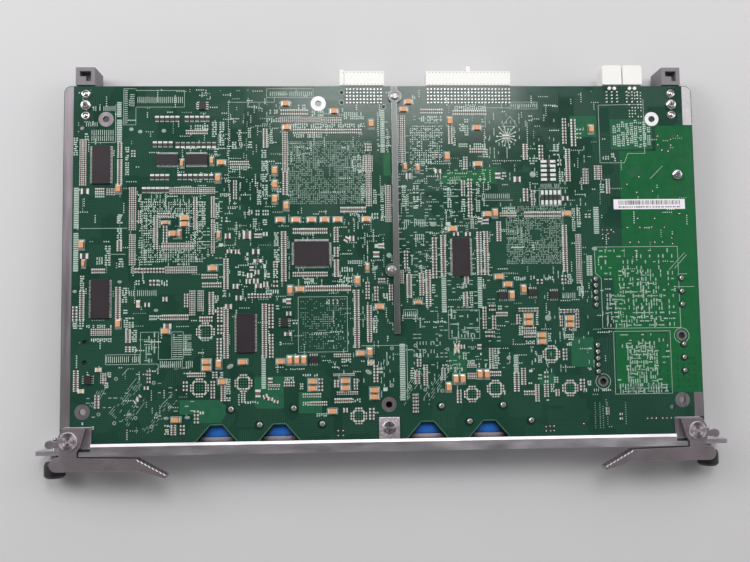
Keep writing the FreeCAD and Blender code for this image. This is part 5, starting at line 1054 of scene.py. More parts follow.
def bare_pad(pads, x, y, long, wide, turn):
    """A pad without its part: one dash, or a pair with a gap; some are missing."""
    choice = chance.random()
    if choice < MISSING_PADS:
        return
    out_x, out_y = math.cos(math.radians(turn)), math.sin(math.radians(turn))
    if choice > PAIRED_PADS and long > LEAST_PAIR:
        for sign in (-1, 1):
            shift = sign * long * PAIR_PLACE
            pads.pad(x + out_x * shift, y + out_y * shift, long * PAIR_LONG, wide, turn)
        return
    reach = long * chance.uniform(LEAST_WHOLE, 1.0)
    shift = (long - reach) / 2 * chance.choice((-1, 1))
    pads.pad(x + out_x * shift, y + out_y * shift, reach, wide * WHOLE_BROAD, turn)


def chip_part(face, x, y, long, wide, kind, turn=0.0, end=None):
    """One chip part along a turned line: a body between two tinned ends, each in a slope of solder.

    A pale one is a bare pad, and one of a ladder is a whole bar.
    """
    if kind == PALE:
        bare_pad(face.pads, x, y, long, wide, turn)
        return
    if kind == LADDER:
        face.pads.pad(x, y, long, wide, turn)
        return
    tall = HEIGHTS[kind]
    out_x, out_y = math.cos(math.radians(turn)), math.sin(math.radians(turn))
    foot = min(FOOT, long * FOOT_SHARE)
    end = end or (long - foot * 2) * END_SHARE
    half = long / 2 - foot
    face.bodies[kind].block(x, y, (half - end) * 2, wide, TOP + PAD, TOP + tall, turn)
    for sign in (1, -1):
        middle = sign * (half - end / 2)
        face.ends.block(x + out_x * middle, y + out_y * middle, end, wide * END_BROAD,
                        TOP, TOP + tall * END_TALL, turn)
        toward = (out_x * sign, out_y * sign)
        face.feet.profile(x + toward[0] * half, y + toward[1] * half, toward, wide * FOOT_BROAD,
                          [(0.0, TOP), (foot, TOP), (foot, TOP + PAD), (0.0, TOP + tall * FOOT_TALL)])


def stack(face, along, across, first, last, kind, upright):
    """Equal parts side by side from first to last, in as many lanes as their breadth holds."""
    pitch = PITCHES[kind]
    count = max(1, round(across / LANE)) if across > WIDEST_LANE else 1
    long = across / count - (LANE_GAP if count > 1 else 0.0)
    for shift in lanes_of(count, across / count):
        for place in spread(first, last, pitch):
            long_here = long * chance.uniform(SHORTEST_PART, 1.0)
            if upright:
                chip_part(face, place, along + shift, long_here, pitch * FILL, kind, 90)
            else:
                chip_part(face, along + shift, place, long_here, pitch * FILL, kind)


def resistor_array(x, y, bright):
    """A four-fold resistor: a dark body with four feet on either side, broad ones on the bright side."""
    wide, deep, tall = ARRAY_SIZE
    fold = wide / FOLDS
    solder_face.bodies[DARK].block(x, y, wide, deep * ARRAY_BODY, TOP + PAD, TOP + tall)
    for shift in lanes_of(FOLDS, fold):
        for out, broad, long, high in (BRIGHT_FEET, DULL_FEET):
            solder_face.feet.block(x + shift, y + bright * deep * out, fold * broad, deep * long,
                                   TOP, TOP + tall * high)


def part_ring(x, y, across):
    """Parts round a small module's place, a pad across each corner and thermal vias inside."""
    lanes = lanes_of(RING_LANES, RING_PITCH)
    side = across / 2 - RING_IN
    corner = across / 2 - RING_CORNER_IN
    for place in lanes:
        for sign in (-1, 1):
            chip_part(solder_face, x + place, y + sign * side, *RING_PART, TAN, 90)
            chip_part(solder_face, x + sign * side, y + place, *RING_PART, TAN)
    for side_x in (-1, 1):
        for side_y in (-1, 1):
            solder_face.pads.pad(x + side_x * corner, y + side_y * corner, *RING_CORNER,
                                 -45 * side_x * side_y)
    for a in lanes:
        for b in lanes:
            module_vias.dot(x + a, y + b, MODULE_VIA, 8, 1.0, PAD)


def decoupling_parts():
    """Parts of the component face: rows round each array package that is soldered to the board."""
    for low, high in solids_of("ball_arrays"):
        if high[2] < UNDER - TOUCH:
            continue
        for reach in UNDER_ROWS:
            for y in (low[1] - reach, high[1] + reach):
                stack(component_face, y, UNDER_LONG, low[0], high[0], TAN, upright=True)
            for x in (low[0] - reach, high[0] + reach):
                stack(component_face, x, UNDER_LONG, low[1], high[1], TAN, upright=False)


def bar_ranks():
    left, right, front, rear, step, bar = BAR_RANKS
    for x in spread(left, right, step):
        first = front + chance.uniform(0.0, RAGGED_FRONT)
        last = rear - chance.uniform(0.0, RAGGED_REAR)
        stack(solder_face, x, bar, first, last, PALE, upright=False)


def large_parts():
    x, front, rear = LARGE_LEVEL
    for y in spread(front, rear, (rear - front) / (LARGE_COUNT - 1)):
        chip_part(solder_face, x, y, LARGE_LONG, LARGE_BROAD, DARK, 0, LEVEL_END)
    y, left, right = LARGE_UPRIGHT
    for x in spread(left, right, (right - left) / (LARGE_COUNT - 1)):
        chip_part(solder_face, x, y, LARGE_LONG, LARGE_BROAD, DARK, 90, UPRIGHT_END)


def small_parts():
    for x, front, rear, wide, kind in STACKS:
        stack(solder_face, x, wide, front, rear, kind, upright=False)
    for y, left, right, deep, kind in ROWS:
        stack(solder_face, y, deep, left, right, kind, upright=True)
    bar_ranks()
    for y, left, right, bright in ARRAYS:
        for x in spread(left, right, ARRAY_PITCH):
            resistor_array(x, y, bright)
    large_parts()
    for ring in PART_RINGS:
        part_ring(*ring)
    for x, y, long, wide, turn, kind in SINGLE_PARTS:
        chip_part(solder_face, x, y, long, wide, kind, turn)
    for x, y, long, wide, turn in BEIGE_PARTS:
        chip_part(solder_face, x, y, long, wide, BEIGE, turn)
    decoupling_parts()
    bodies = solder_face.bodies
    piece("ceramic_parts", bodies[TAN], ceramic)
    piece("large_ceramic_parts", bodies[BIG], dark_ceramic)
    piece("resistor_parts", bodies[DARK], resistor)
    piece("beige_parts", bodies[BEIGE], beige)
    piece("part_ends", solder_face.ends, pad_tin)
    piece("part_solder", solder_face.feet, pad_tin)
    piece("bare_pads", solder_face.pads, silk_ink)
    piece("module_vias", module_vias, rim_green)
    piece("under_ceramic_parts", turned_over(component_face.bodies[TAN]), ceramic)
    piece("under_part_ends", turned_over(component_face.ends), pad_tin)
    piece("under_part_solder", turned_over(component_face.feet), pad_tin)


small_parts()

# Leads of the moulded chips

EAST_WEST = ((1, 0), (-1, 0))
NORTH_SOUTH = ((0, 1), (0, -1))
# Rows of leads: node, sides, pitch, leads to a side, width, reach; small chips have theirs on the long sides
LEAD_ROWS = [
    ("memory_chips", EAST_WEST, 0.8, 27, 0.35, 1.0),
    ("driver_chips", NORTH_SOUTH, 0.5, 24, 0.24, 1.0),
    ("small_chips", None, 1.27, 4, 0.45, 1.1),
    ("flat_pack_chip", NORTH_SOUTH, 0.65, 30, 0.32, 1.1),
    ("flat_pack_chip", EAST_WEST, 0.65, 20, 0.32, 1.1),
]
LEAD_THICK = 0.15
LEAD_ROOT = -0.25
# Places of a lead's two bends, and its pad's place, length and breadth, as shares of reach and width
UPPER_BEND = 0.3
LOWER_BEND = 0.55
PAD_PLACE = 0.75
PAD_LONG = 0.9
PAD_BROAD = 1.25


def gull_wing(heap, x, y, toward, width, reach, exit_height):
    """A lead that leaves a chip's side, bends down and ends in a foot on the board."""
    bend, foot = reach * UPPER_BEND, reach * LOWER_BEND
    low, high = TOP + PAD, TOP + PAD + LEAD_THICK
    heap.profile(x, y, toward, width, [
        (LEAD_ROOT, exit_height - LEAD_THICK / 2),
        (bend - LEAD_THICK / 2, exit_height - LEAD_THICK / 2),
        (foot - LEAD_THICK, low),
        (reach, low),
        (reach, high),
        (foot, high),
        (bend + LEAD_THICK / 2, exit_height + LEAD_THICK / 2),
        (LEAD_ROOT, exit_height + LEAD_THICK / 2),
    ])


def lead_row(leads, pads, box, toward, pitch, count, width, reach):
    """A row of leads along one side of a chip's box, each on its pad."""
    (middle_x, middle_y), (half_x, half_y) = middle_of(box), halves_of(box)
    exit_height = (box[0][2] + box[1][2]) / 2
    long, broad = reach * PAD_LONG, width * PAD_BROAD
    for shift in lanes_of(count, pitch):
        x = middle_x + toward[0] * half_x + toward[1] * shift
        y = middle_y + toward[1] * half_y + toward[0] * shift
        gull_wing(leads, x, y, toward, width, reach, exit_height)
        pad_reach = reach * PAD_PLACE
        pads.pad(x + toward[0] * pad_reach, y + toward[1] * pad_reach,
                 *((long, broad) if toward[0] else (broad, long)))


def chip_leads():
    leads, pads = Heap(), Heap()
    for name, sides, *sizes in LEAD_ROWS:
        for box in solids_of(name):
            half_x, half_y = halves_of(box)
            for toward in sides or (NORTH_SOUTH if half_x > half_y else EAST_WEST):
                lead_row(leads, pads, box, toward, *sizes)
    piece("chip_leads", leads, tin)
    piece("lead_pads", pads, pad_tin)


chip_leads()

# Ends and silkscreen frames of the moulded capacitors

# Outlines of a bent tab and its solder: distance out, height over the board
END_TAB = [(0.0, 0.0), (0.12, 0.0), (0.12, 1.15), (0.0, 1.2)]
END_SLOPE = [(0.12, 0.0), (0.8, 0.0), (0.8, PAD), (0.4, 0.2), (0.12, 0.6)]
TAB_BROAD = 0.8
SLOPE_BROAD = 0.95
# Room between a capacitor and its frame, at its ends and sides
FRAME_ENDS = 1.25
FRAME_SIDES = 0.35
FRAME_WIDTH = 0.2
silk = Heap()


def silk_box(left, right, front, rear):
    corners = [(left, front), (right, front), (right, rear), (left, rear)]
    for start, end in zip(corners, corners[1:] + corners[:1]):
        silk.stroke(start, end, FRAME_WIDTH)


def capacitor_ends():
    """Bent tabs and solder at both ends of each moulded capacitor, and a frame round it."""
    tabs, slopes = Heap(), Heap()
    for box in solids_of("chip_capacitors"):
        (middle_x, middle_y), (half_x, half_y) = middle_of(box), halves_of(box)
        along_x = half_x > half_y
        width = min(half_x, half_y) * 2
        half = max(half_x, half_y)
        for toward in EAST_WEST if along_x else NORTH_SOUTH:
            x, y = middle_x + toward[0] * half, middle_y + toward[1] * half
            for heap, share, outline in ((tabs, TAB_BROAD, END_TAB), (slopes, SLOPE_BROAD, END_SLOPE)):
                heap.profile(x, y, toward, width * share, [(out, TOP + rise) for out, rise in outline])
        room_x, room_y = (FRAME_ENDS, FRAME_SIDES) if along_x else (FRAME_SIDES, FRAME_ENDS)
        silk_box(middle_x - half_x - room_x, middle_x + half_x + room_x,
                 middle_y - half_y - room_y, middle_y + half_y + room_y)
    piece("capacitor_tabs", tabs, tin)
    piece("capacitor_solder", slopes, pad_tin)


capacitor_ends()

# Silkscreen: outlines, lines and rows of plain bars

# Boxes: left, right, front, rear
SILK_BOXES = [
    (-149.5, -142.5, 185.3, 206.5), (-142.5, -114.8, 195.7, 205.5), (-67.5, -40.5, 201.3, 206.5),
    (75, 91, 194.3, 198.4), (90.8, 103.7, 136.8, 147.2), (-50, -22, 53.5, 85), (36.2, 54, 60, 76.5),
    (10.3, 18.3, 72, 77), (-139, -129, 48, 66), (-121.5, -115, 51, 66), (-158.5, -139.5, 48, 53.5),
    (132, 165.3, 27, 63), (-129, -115.5, 45, 50.5),
]
# Lines of print: the places that each one joins
SILK_LINES = [
    [(-154, 175), (-154, 197)],
    [(-168, 175), (-154, 175)],
    [(-90, 198.5), (-63, 198.5), (-63, 201.5)],
    [(58, 195), (75, 195)],
    [(154, 197), (127.4, 196.5), (127.4, 162), (142, 162), (144, 167.5), (154.3, 167.5), (154.3, 200)],
    [(-173, 125.4), (-147, 125.4)],
    [(-156, 110.5), (-148, 110.5)],
    [(57, 140.2), (75, 140.2)],
    [(-14, 56.7), (12, 56.7)],
    [(157, 152.5), (164.5, 160)],
    [(122.5, 97), (122.3, 112.3), (171.5, 112.3), (171.7, 64.8), (125.8, 64.9), (125.8, 94), (122.5, 97)],
    [(-121, 31), (-127, 25)],
    [(-129.5, 21), (-131, 18)],
    [(-146, 45.5), (-149, 42)],
    [(70, 184), (79, 184), (74.5, 190), (70, 184)],
    [(-130, 45), (-116, 45)],
    [(11.9, 25.5), (11.9, 56.7)],
    [(166.3, 98.7), (175.6, 108.6)],
    [(169.4, 99.4), (176.8, 107.4)],
    [(168.4, 88.6), (180.5, 88.6)],
    [(172.1, 96.1), (176.6, 96.1)],
]
# Circles: x, y, radius
SILK_CIRCLES = [(*BRICK_HOLE, 4.3), (*POUR_HOLE, 4.3)]
SILK_WIDTH = 0.22
# Level lines with short strokes that hang from them: y, first x, last x, length
COMBS = [(129, 17.5, 23, 4.6), (120.5, 18, 22.5, 5.0), (129, 11.6, 14, 4.6), (156, 13.8, 16.4, 4.2),
         (158.5, 30, 33, 5.6), (152, 38.6, 41.6, 2.4)]

# Rows of plain bars where the board carries print: left, right, front, rear
BAR_STRIPS = [
    (-166.5, -155, 193.5, 196.5), (-170.5, -164.5, 184.5, 187), (-149, -147.2, 186.5, 205.5),
    (-146, -143.2, 196.5, 203), (-141.5, -116, 198, 202), (-66.5, -41.5, 202, 205),
    (76, 90.4, 195.2, 197.6), (57.4, 73, 141.2, 144.2), (-145.5, -130.5, 86.5, 90), (-158, -140, 49, 52.8),
    (-129, -110, 45.6, 49.8), (-121, -115.4, 52, 64), (-114.8, -110.4, 53, 64), (103, 110, 82.5, 86),
    (11.4, 17.4, 72.8, 76.2), (-167.4, -155.4, 175.8, 182.6), (92, 102.5, 147.8, 149.8),
    (119.6, 128, 28.8, 30.4),
]
# Thick dashes over the converters' copper and in two framed places: left, right, front, rear,
# step across, step deep, share kept
COPPER_DASHES = [
    (-135.8, -131.2, 50, 64.4, 1.5, 1.9, 0.7), (38, 52.8, 61.6, 75.2, 1.9, 2.1, 0.55),
    (129, 137, 66.5, 84, 1.6, 2.6, 0.7), (137, 161, 66.5, 98, 1.5, 2.4, 0.52),
    (126, 168, 67, 110, 2.6, 3.4, 0.42), (140, 157, 30, 56, 1.35, 2.1, 0.72),
    (134.5, 163.5, 28.6, 61, 2.4, 3.2, 0.32), (135, 162, 28.4, 32, 1.5, 1.6, 0.8),
]
# Bundles of traces that show through the mask as broken lines: start and end of the middle line
TRACE_BUNDLES = [
    ((-147.5, 14.8), (-137.1, 29.7)), ((-154.4, 19.4), (-139.4, 38.9)), ((-135.8, 10.1), (-119.6, 29.7)),
    ((-165, 24), (-158, 38)), ((8, 24), (20, 42)), ((22, 24), (36, 44)),
]
# Orderly fields of short dashes: left, right, front, rear, step across, step deep, share kept, upright
DASH_FIELDS = [
    (-3, 2, 26, 52, 1.6, 2.0, 0.3, True), (16, 23, 26, 60, 1.8, 2.2, 0.28, True),
    (24, 31, 26, 62, 1.8, 2.2, 0.28, True), (39, 42, 26, 58, 1.6, 2.2, 0.3, True),
    (-139, -134, 104.5, 142, 2.2, 1.4, 0.55, False), (-128, -112, 104.5, 111.5, 1.5, 2.6, 0.55, True),
    (-135, -112, 134.5, 143.5, 1.6, 2.5, 0.5, True), (60, 80, 166, 200, 2.4, 2.2, 0.3, True),
    (14, 34, 159, 190, 2.2, 2.0, 0.3, False), (-100, -62, 187, 206, 2.8, 2.4, 0.16, True),
    (-92, -62, 84, 150, 3.0, 2.6, 0.2, True), (62, 118, 135, 176, 3.0, 2.6, 0.2, True),
    (92, 118, 177, 203, 3.0, 2.6, 0.06, True), (-30, 4, 37, 100, 2.8, 2.4, 0.2, True),
    (14, 70, 41, 100, 2.6, 2.2, 0.24, False), (84, 120, 41, 100, 2.8, 2.4, 0.2, True),
    (9, 60, 97, 158, 2.2, 1.9, 0.3, False), (-168, -110, 11, 45, 3.0, 2.6, 0.1, False),
    (-108, -94, 104, 146, 2.2, 1.9, 0.3, False), (-55, -10, 92, 136, 2.6, 2.2, 0.18, True),
]

# Bars of a strip: depth of a row, step, width, shares of the depth where they start and end, share left out
BAR_ROW = 2.8
BAR_STEP = 1.15
BAR_WIDTH = 0.34
BAR_START = (0.04, 0.1)
BAR_END = (0.84, 0.92)
MISSING_BARS = 0.06
COMB_STEP = 1.2
COMB_WIDTH = 0.36
SHORTEST_TOOTH = 0.6
# Dashes: least and greatest length, least and greatest width
PLAIN_DASHES = ((0.9, 1.9), (0.38, 0.55))
THICK_DASHES = ((0.8, 2.0), (0.45, 0.8))
UPRIGHT_DASHES = 0.65
# Bundles: lines, gap between them, step along a line, room at its end, lengths, width and share left out
BUNDLE_LINES = 5
BUNDLE_GAP = 1.1
BUNDLE_STEP = 2.1
BUNDLE_END = 2.0
BUNDLE_LENGTHS = (0.8, 1.9)
BUNDLE_WIDTH = 0.3
MISSING_DASHES = 0.5
CIRCLE_SIDES = 40


def polyline(points):
    for start, end in zip(points, points[1:]):
        silk.stroke(start, end, SILK_WIDTH)


def bar_strip(left, right, front, rear):
    """Equal bars across a strip, in one row or column, as plain as a ruler's."""
    tall = rear - front > right - left
    run = (front, rear) if tall else (left, right)
    across = (left, right) if tall else (front, rear)
    rows = max(1, round((across[1] - across[0]) / BAR_ROW))
    depth = (across[1] - across[0]) / rows
    for row in range(rows):
        base = across[0] + depth * row
        for place in spread(*run, BAR_STEP):
            start = base + depth * chance.uniform(*BAR_START)
            end = base + depth * chance.uniform(*BAR_END)
            if chance.random() < MISSING_BARS:
                continue
            if tall:
                silk.stroke((start, place), (end, place), BAR_WIDTH)
            else:
                silk.stroke((place, start), (place, end), BAR_WIDTH)


def comb(y, left, right, length):
    polyline([(left, y), (right, y)])
    for x in spread(left, right, COMB_STEP):
        silk.stroke((x, y), (x, y - length * chance.uniform(SHORTEST_TOOTH, 1.0)), COMB_WIDTH)


def dash_field(heap, sizes, left, right, front, rear, step_x, step_y, share, upright=None):
    """Short dashes on a grid, some places left out; most are upright where that is not stated."""
    lengths, widths = sizes
    for x in spread(left, right, step_x):
        for y in spread(front, rear, step_y):
            length = chance.uniform(*lengths)
            width = chance.uniform(*widths)
            stands = chance.random() < UPRIGHT_DASHES if upright is None else upright
            if chance.random() > share or not free(x, y):
                continue
            reach_x, reach_y = (0.0, length / 2) if stands else (length / 2, 0.0)
            heap.stroke((x - reach_x, y - reach_y), (x + reach_x, y + reach_y), width)


def trace_bundle(heap, start, end):
    """Parallel broken lines beside a slanting middle line."""
    run = math.dist(start, end)
    along = ((end[0] - start[0]) / run, (end[1] - start[1]) / run)
    for shift in lanes_of(BUNDLE_LINES, BUNDLE_GAP):
        for place in spread(0.0, run - BUNDLE_END, BUNDLE_STEP):
            length = chance.uniform(*BUNDLE_LENGTHS)
            x = start[0] + along[0] * place - along[1] * shift
            y = start[1] + along[1] * place + along[0] * shift
            if chance.random() < MISSING_DASHES or not free(x, y):
                continue
            heap.stroke((x, y), (x + along[0] * length, y + along[1] * length), BUNDLE_WIDTH)


def silkscreen():
    for box in SILK_BOXES:
        silk_box(*box)
    for points in SILK_LINES:
        polyline(points)
    for x, y, radius in SILK_CIRCLES:
        silk.ring(x, y, radius - SILK_WIDTH / 2, radius + SILK_WIDTH / 2, SILK, CIRCLE_SIDES)
    for strip in BAR_STRIPS:
        bar_strip(*strip)
    for row in COMBS:
        comb(*row)
    piece("silkscreen", silk, silk_ink)
    dashes = Heap()
    for sizes, fields in ((PLAIN_DASHES, DASH_FIELDS), (THICK_DASHES, COPPER_DASHES)):
        for field in fields:
            dash_field(dashes, sizes, *field)
    piece("pale_dashes", dashes, print_pale)
    faint = Heap()
    for bundle in TRACE_BUNDLES:
        trace_bundle(faint, *bundle)
    piece("trace_marks", faint, via_dim)


silkscreen()

# Vias: fields under the array packages, short runs, rows, and single ones

# Middle x, middle y, across, deep, pitch, clear half width in the middle
BRIGHT_FIELDS = [(-121.6, 123.1, 34, 34, 1.27, 7.5), (25, 173, 18, 22, 1.27, 2.5)]
# Traces round one place: x, y, inner and outer radius
TRACE_STAR = (72.5, 178.0, 1.2, 7.0)
STAR_ARMS = 14
DIM_FIELDS = [(-31.9, 157.1, 48, 36, 1.1, 3.0), (87.7, 119.7, 33, 33, 1.0, 3.0)]
# A fainter field with a round middle: x, y, across, deep, pitch, radius of the middle
ROUND_FIELD = (-35.9, 69.6, 25, 28, 1.25, 6.6)
# Areas with short runs of vias: left, right, front, rear, how many runs
RUN_AREAS = [
    (-176, 118, 42, 206, 620), (9, 62, 96, 160, 70), (-92, -60, 88, 160, 40), (118, 131, 6, 205, 26),
    (-112, -62, 150, 206, 70), (133, 178, 66, 200, 36), (-168, -112, 6, 46, 26), (-30, 0, 90, 130, 30),
]
RUN_PITCH = 1.27
# Rows: first and last place
VIA_ROWS = [
    ((84.7, 172), (84.7, 186)), ((64, 163.5), (80, 163.5)), ((-89.5, 149), (-89.5, 198.5)),
]
# Vias in ranks at the second power block: left, right, front, rear, pitch
VIA_RANKS = (146.0, 153.0, 189.6, 204.0, 1.9)
DIM_ROWS = [
    ((122.6, 8), (122.6, 22)), ((124.4, 8), (124.4, 20)), ((127, 10), (127, 22)), ((137.6, 10), (137.6, 22)),
    ((119.8, 8), (119.8, 22)),
]
# Fields of dark dots: left, right, front, rear
DARK_GRIDS = [
    (171, 181, 143, 150), (171, 177, 162, 166), (169, 179, 31, 47), (140, 164, 68, 109),
    (136, 163, 55.5, 61.7), (158.5, 163, 34, 52.5),
]
DARK_PITCH = 3.1
DARK_RADIUS = 0.7
# Ends of leads, each in a dark disc of painted shade
LEAD_DOTS = [
    (148.3, 129), (158.5, 129), (142, 123.7), (149.5, 123.7), (156.3, 123.8), (164, 123.7), (143.3, 115),
    (148.5, 115), (158, 115), (162.6, 115), (168.2, 117.4), (168.5, 114), (173.3, 131.7), (142.8, 149.3),
    (150, 153.7), (157.8, 145), (148.5, 144.5), (162, 178), (162, 172.7), (164.4, 169.6), (168, 169),
    (169.7, 176), (169.7, 172.5), (174, 178), (150, 13), (152.5, 13), (155, 13), (158.8, 13), (161.3, 12.9),
    (163.8, 13), (-119, 33.3), (90.8, 9.2), (93.2, 9.4), (95.5, 9.5), (90.8, 6.8), (93.4, 6.7), (95.5, 6.9),
    (-28, 9), (-25.3, 9), (-28, 6.3), (-25.3, 6.3), (112.8, 10.5), (127.3, 122.4), (130, 122.4),
    (132.5, 122.4), (127.3, 119.8), (130.5, 120.2), (127.3, 117.4), (130.8, 117.4), (133.8, 121.2),
]
# Round test lands with a dark middle of painted shade
SMALL_RINGS = [
    (-162, 20.3), (-153.3, 15.3), (-141.5, 18), (-132.5, 13), (16.8, 56.5), (22, 53), (35.3, 54), (3.3, 55),
    (13.3, 33.2), (22, 31.3), (32, 30.5), (3, 34), (-152.5, 40), (-131.5, 37.5),
]
# Blind holes, each filled with a dark plug of painted shade: x, y, radius
BLIND_HOLES = [*((x, y, 1.36) for x, y, _ in BLIND_TOOLING), (*POUR_HOLE, 1.8)]
# Holes by the signal connector: a ring round a dark disc of painted shade
PEG_HOLES = [(-24, 204.2), (-24, 198.3), (0.5, 195.7)]
# Grey oval lands: x, y, length, width, turn
LANDS = [
    (-88.7, 46, 3.8, 2.4, 28), (-10.2, 41.7, 3.9, 2.4, -32), (28.3, 126.3, 4.0, 2.6, 0),
    (-6, 101, 3.8, 2.4, 30), (-145, 182.7, 2.6, 2.2, 0), (-140, 181.3, 2.6, 2.2, 0),
    (-126.5, 181.8, 2.6, 2.2, 0), (-145, 20, 3.0, 1.8, 0), (70.5, 48.7, 2.6, 2.2, 20),
    (-124.5, 17.5, 3.0, 1.8, 0), (-112.7, 17.7, 3.0, 1.8, 0), (-151, 94.7, 2.6, 1.8, 0),
    (-130.5, 78.3, 2.6, 1.8, 0), (-176, 89.5, 2.4, 1.8, 0), (87.3, 155.3, 3.6, 3.6, 0),
    (94, 71.3, 3.6, 3.6, 0), (2.5, 108.5, 3.0, 3.0, 0), (122.5, 111.3, 3.2, 2.4, 0),
]

# Vias of fields: radius, sides, top share, share left out; share with a short trace, its lean and width
FIELD_VIA = (0.34, 6, 0.8)
MISSING_VIAS = 0.25
TRACED_VIAS = 0.5
TRACE_LEAN = 0.42
TRACE_WIDTH = 0.22
# The round field: its vias, shares left out inside and outside, lengths and depth of its dashes
ROUND_VIA = (0.3, 6, 0.8)
ROUND_MISSING_IN = 0.3
ROUND_MISSING_OUT = 0.62
ROUND_DASH = (0.5, 1.0)
ROUND_DASH_DEEP = 0.4
# The star: width of its traces, radius and sides of the vias at their ends, and the three reaches
# that its arms take in turn, as shares of the outer radius: the least and the step
STAR_WIDTH = 0.32
STAR_VIA = (0.5, 8)
STAR_LEAST = 0.62
STAR_STEP = 0.19
STAR_REACHES = 3
# Runs: share that lies across the card, radius, number and sides of the vias; one run in three is dim
ACROSS_RUNS = 0.5
RUN_RADII = (0.3, 0.42)
RUN_COUNTS = (2, 6)
RUN_SIDES = 7
DIM_EVERY = 3
# Ranks and rows: radius and sides; share of the ranks that is kept, and pitch of the rows
RANK_VIA = (0.42, 8)
KEPT_RANKS = 0.75
ROW_VIA = (0.32, 7)
ROW_PITCH = 1.3


def oval(x, y, long, wide, turn, sides=20):
    """Corners of an ellipse, turned by degrees."""
    cosine, sine = math.cos(math.radians(turn)), math.sin(math.radians(turn))
    return [(x + a * long / 2 * cosine - b * wide / 2 * sine, y + a * long / 2 * sine + b * wide / 2 * cosine)
            for a, b in circle(0, 0, 1.0, sides)]


def via_field(heap, x, y, across, deep, pitch, clear):
    for a in spread(-across / 2, across / 2, pitch):
        for b in spread(-deep / 2, deep / 2, pitch):
            if max(abs(a), abs(b)) < clear or chance.random() < MISSING_VIAS:
                continue
            heap.dot(x + a, y + b, *FIELD_VIA)
            if chance.random() < TRACED_VIAS:
                lean_x = TRACE_LEAN if a > 0 else -TRACE_LEAN
                lean_y = TRACE_LEAN if b > 0 else -TRACE_LEAN
                heap.stroke((x + a, y + b), (x + a + lean_x, y + b + lean_y), TRACE_WIDTH)


def round_field(heap):
    """Loose faint vias round a disc of short level dashes."""
    x, y, across, deep, pitch, middle = ROUND_FIELD
    for a in spread(-across / 2, across / 2, pitch):
        for b in spread(-deep / 2, deep / 2, pitch):
            inside = math.hypot(a, b) < middle
            if chance.random() < (ROUND_MISSING_IN if inside else ROUND_MISSING_OUT):
                continue
            if inside:
                heap.block(x + a, y + b, chance.uniform(*ROUND_DASH), ROUND_DASH_DEEP, TOP, TOP + SILK)
            else:
                heap.dot(x + a, y + b, *ROUND_VIA)


def trace_star(heap):
    """Short traces that leave one place on all sides, each with a via at its end."""
    x, y, inner, outer = TRACE_STAR
    for arm in range(STAR_ARMS):
        angle = math.tau * arm / STAR_ARMS
        reach = outer * (STAR_LEAST + STAR_STEP * (arm % STAR_REACHES))
        out_x, out_y = math.cos(angle), math.sin(angle)
        tip = (x + out_x * reach, y + out_y * reach)
        heap.stroke((x + out_x * inner, y + out_y * inner), tip, STAR_WIDTH)
        heap.dot(*tip, *STAR_VIA)


def via_run(heap, left, right, front, rear):
    """A few vias in line, across or along the card."""
    x, y = chance.uniform(left, right), chance.uniform(front, rear)
    across = chance.random() < ACROSS_RUNS
    radius = chance.uniform(*RUN_RADII)
    for step in range(chance.randint(*RUN_COUNTS)):
        place = (x + RUN_PITCH * step, y) if across else (x, y + RUN_PITCH * step)
        if place[0] < right and place[1] < rear and free(*place):
            heap.dot(*place, radius, RUN_SIDES)


def via_row(heap, start, end):
    for place in spread(0.0, 1.0, ROW_PITCH / math.dist(start, end)):
        heap.dot(start[0] + (end[0] - start[0]) * place, start[1] + (end[1] - start[1]) * place, *ROW_VIA)


def vias():
    bright, dim = Heap(), Heap()
    for heap, fields in ((bright, BRIGHT_FIELDS), (dim, DIM_FIELDS)):
        for field in fields:
            via_field(heap, *field)
    round_field(dim)
    trace_star(bright)
    left, right, front, rear, pitch = VIA_RANKS
    for x in spread(left, right, pitch):
        for y in spread(front, rear, pitch):
            if chance.random() < KEPT_RANKS:
                bright.dot(x, y, *RANK_VIA)
    for *area, count in RUN_AREAS:
        for turn in range(count):
            via_run(dim if turn % DIM_EVERY == 0 else bright, *area)
    for heap, rows in ((bright, VIA_ROWS), (dim, DIM_ROWS)):
        for row in rows:
            via_row(heap, *row)
    piece("via_dots", bright, via_tin)
    piece("masked_vias", dim, via_dim)
    piece("under_via_dots", turned_over(bright), via_tin)


# Lead ends: radius and sides of the dark disc of painted shade round each; shift, radius, rise, sides and
# levels of the solder
LEAD_DISC = (0.9, 14)
LEAD_SHIFT = (0.2, -0.15)
LEAD_DOME = 0.42
LEAD_RISE = 0.35
LEAD_STEPS = (14, 4)
# Oval lands: rise and top share
LAND_RISE = 0.2
LAND_SLOPE = 0.8
# Test lands and peg holes: inner and outer radius of the ring, its sides, radius and sides of the dark
# middle, which is painted shade
TEST_RING = (0.55, 1.05)
TEST_RING_SIDES = 20
TEST_DISC = (0.6, 16)
PEG_RING = (1.1, 1.5)
PEG_RING_SIDES = 24
PEG_HOLE_SHADE = (1.15, 20)
# Dark plugs in blind holes, painted shade that stands in for their dark inside: how far above the under face
# and below the solder face they stand
SHADE_PLUG_LOW = 0.1
SHADE_PLUG_HIGH = 1.5
SHADE_PLUG_SIDES = 20
# Dark dots: sides and top share
DARK_SIDES = 10
DARK_SLOPE = 0.85


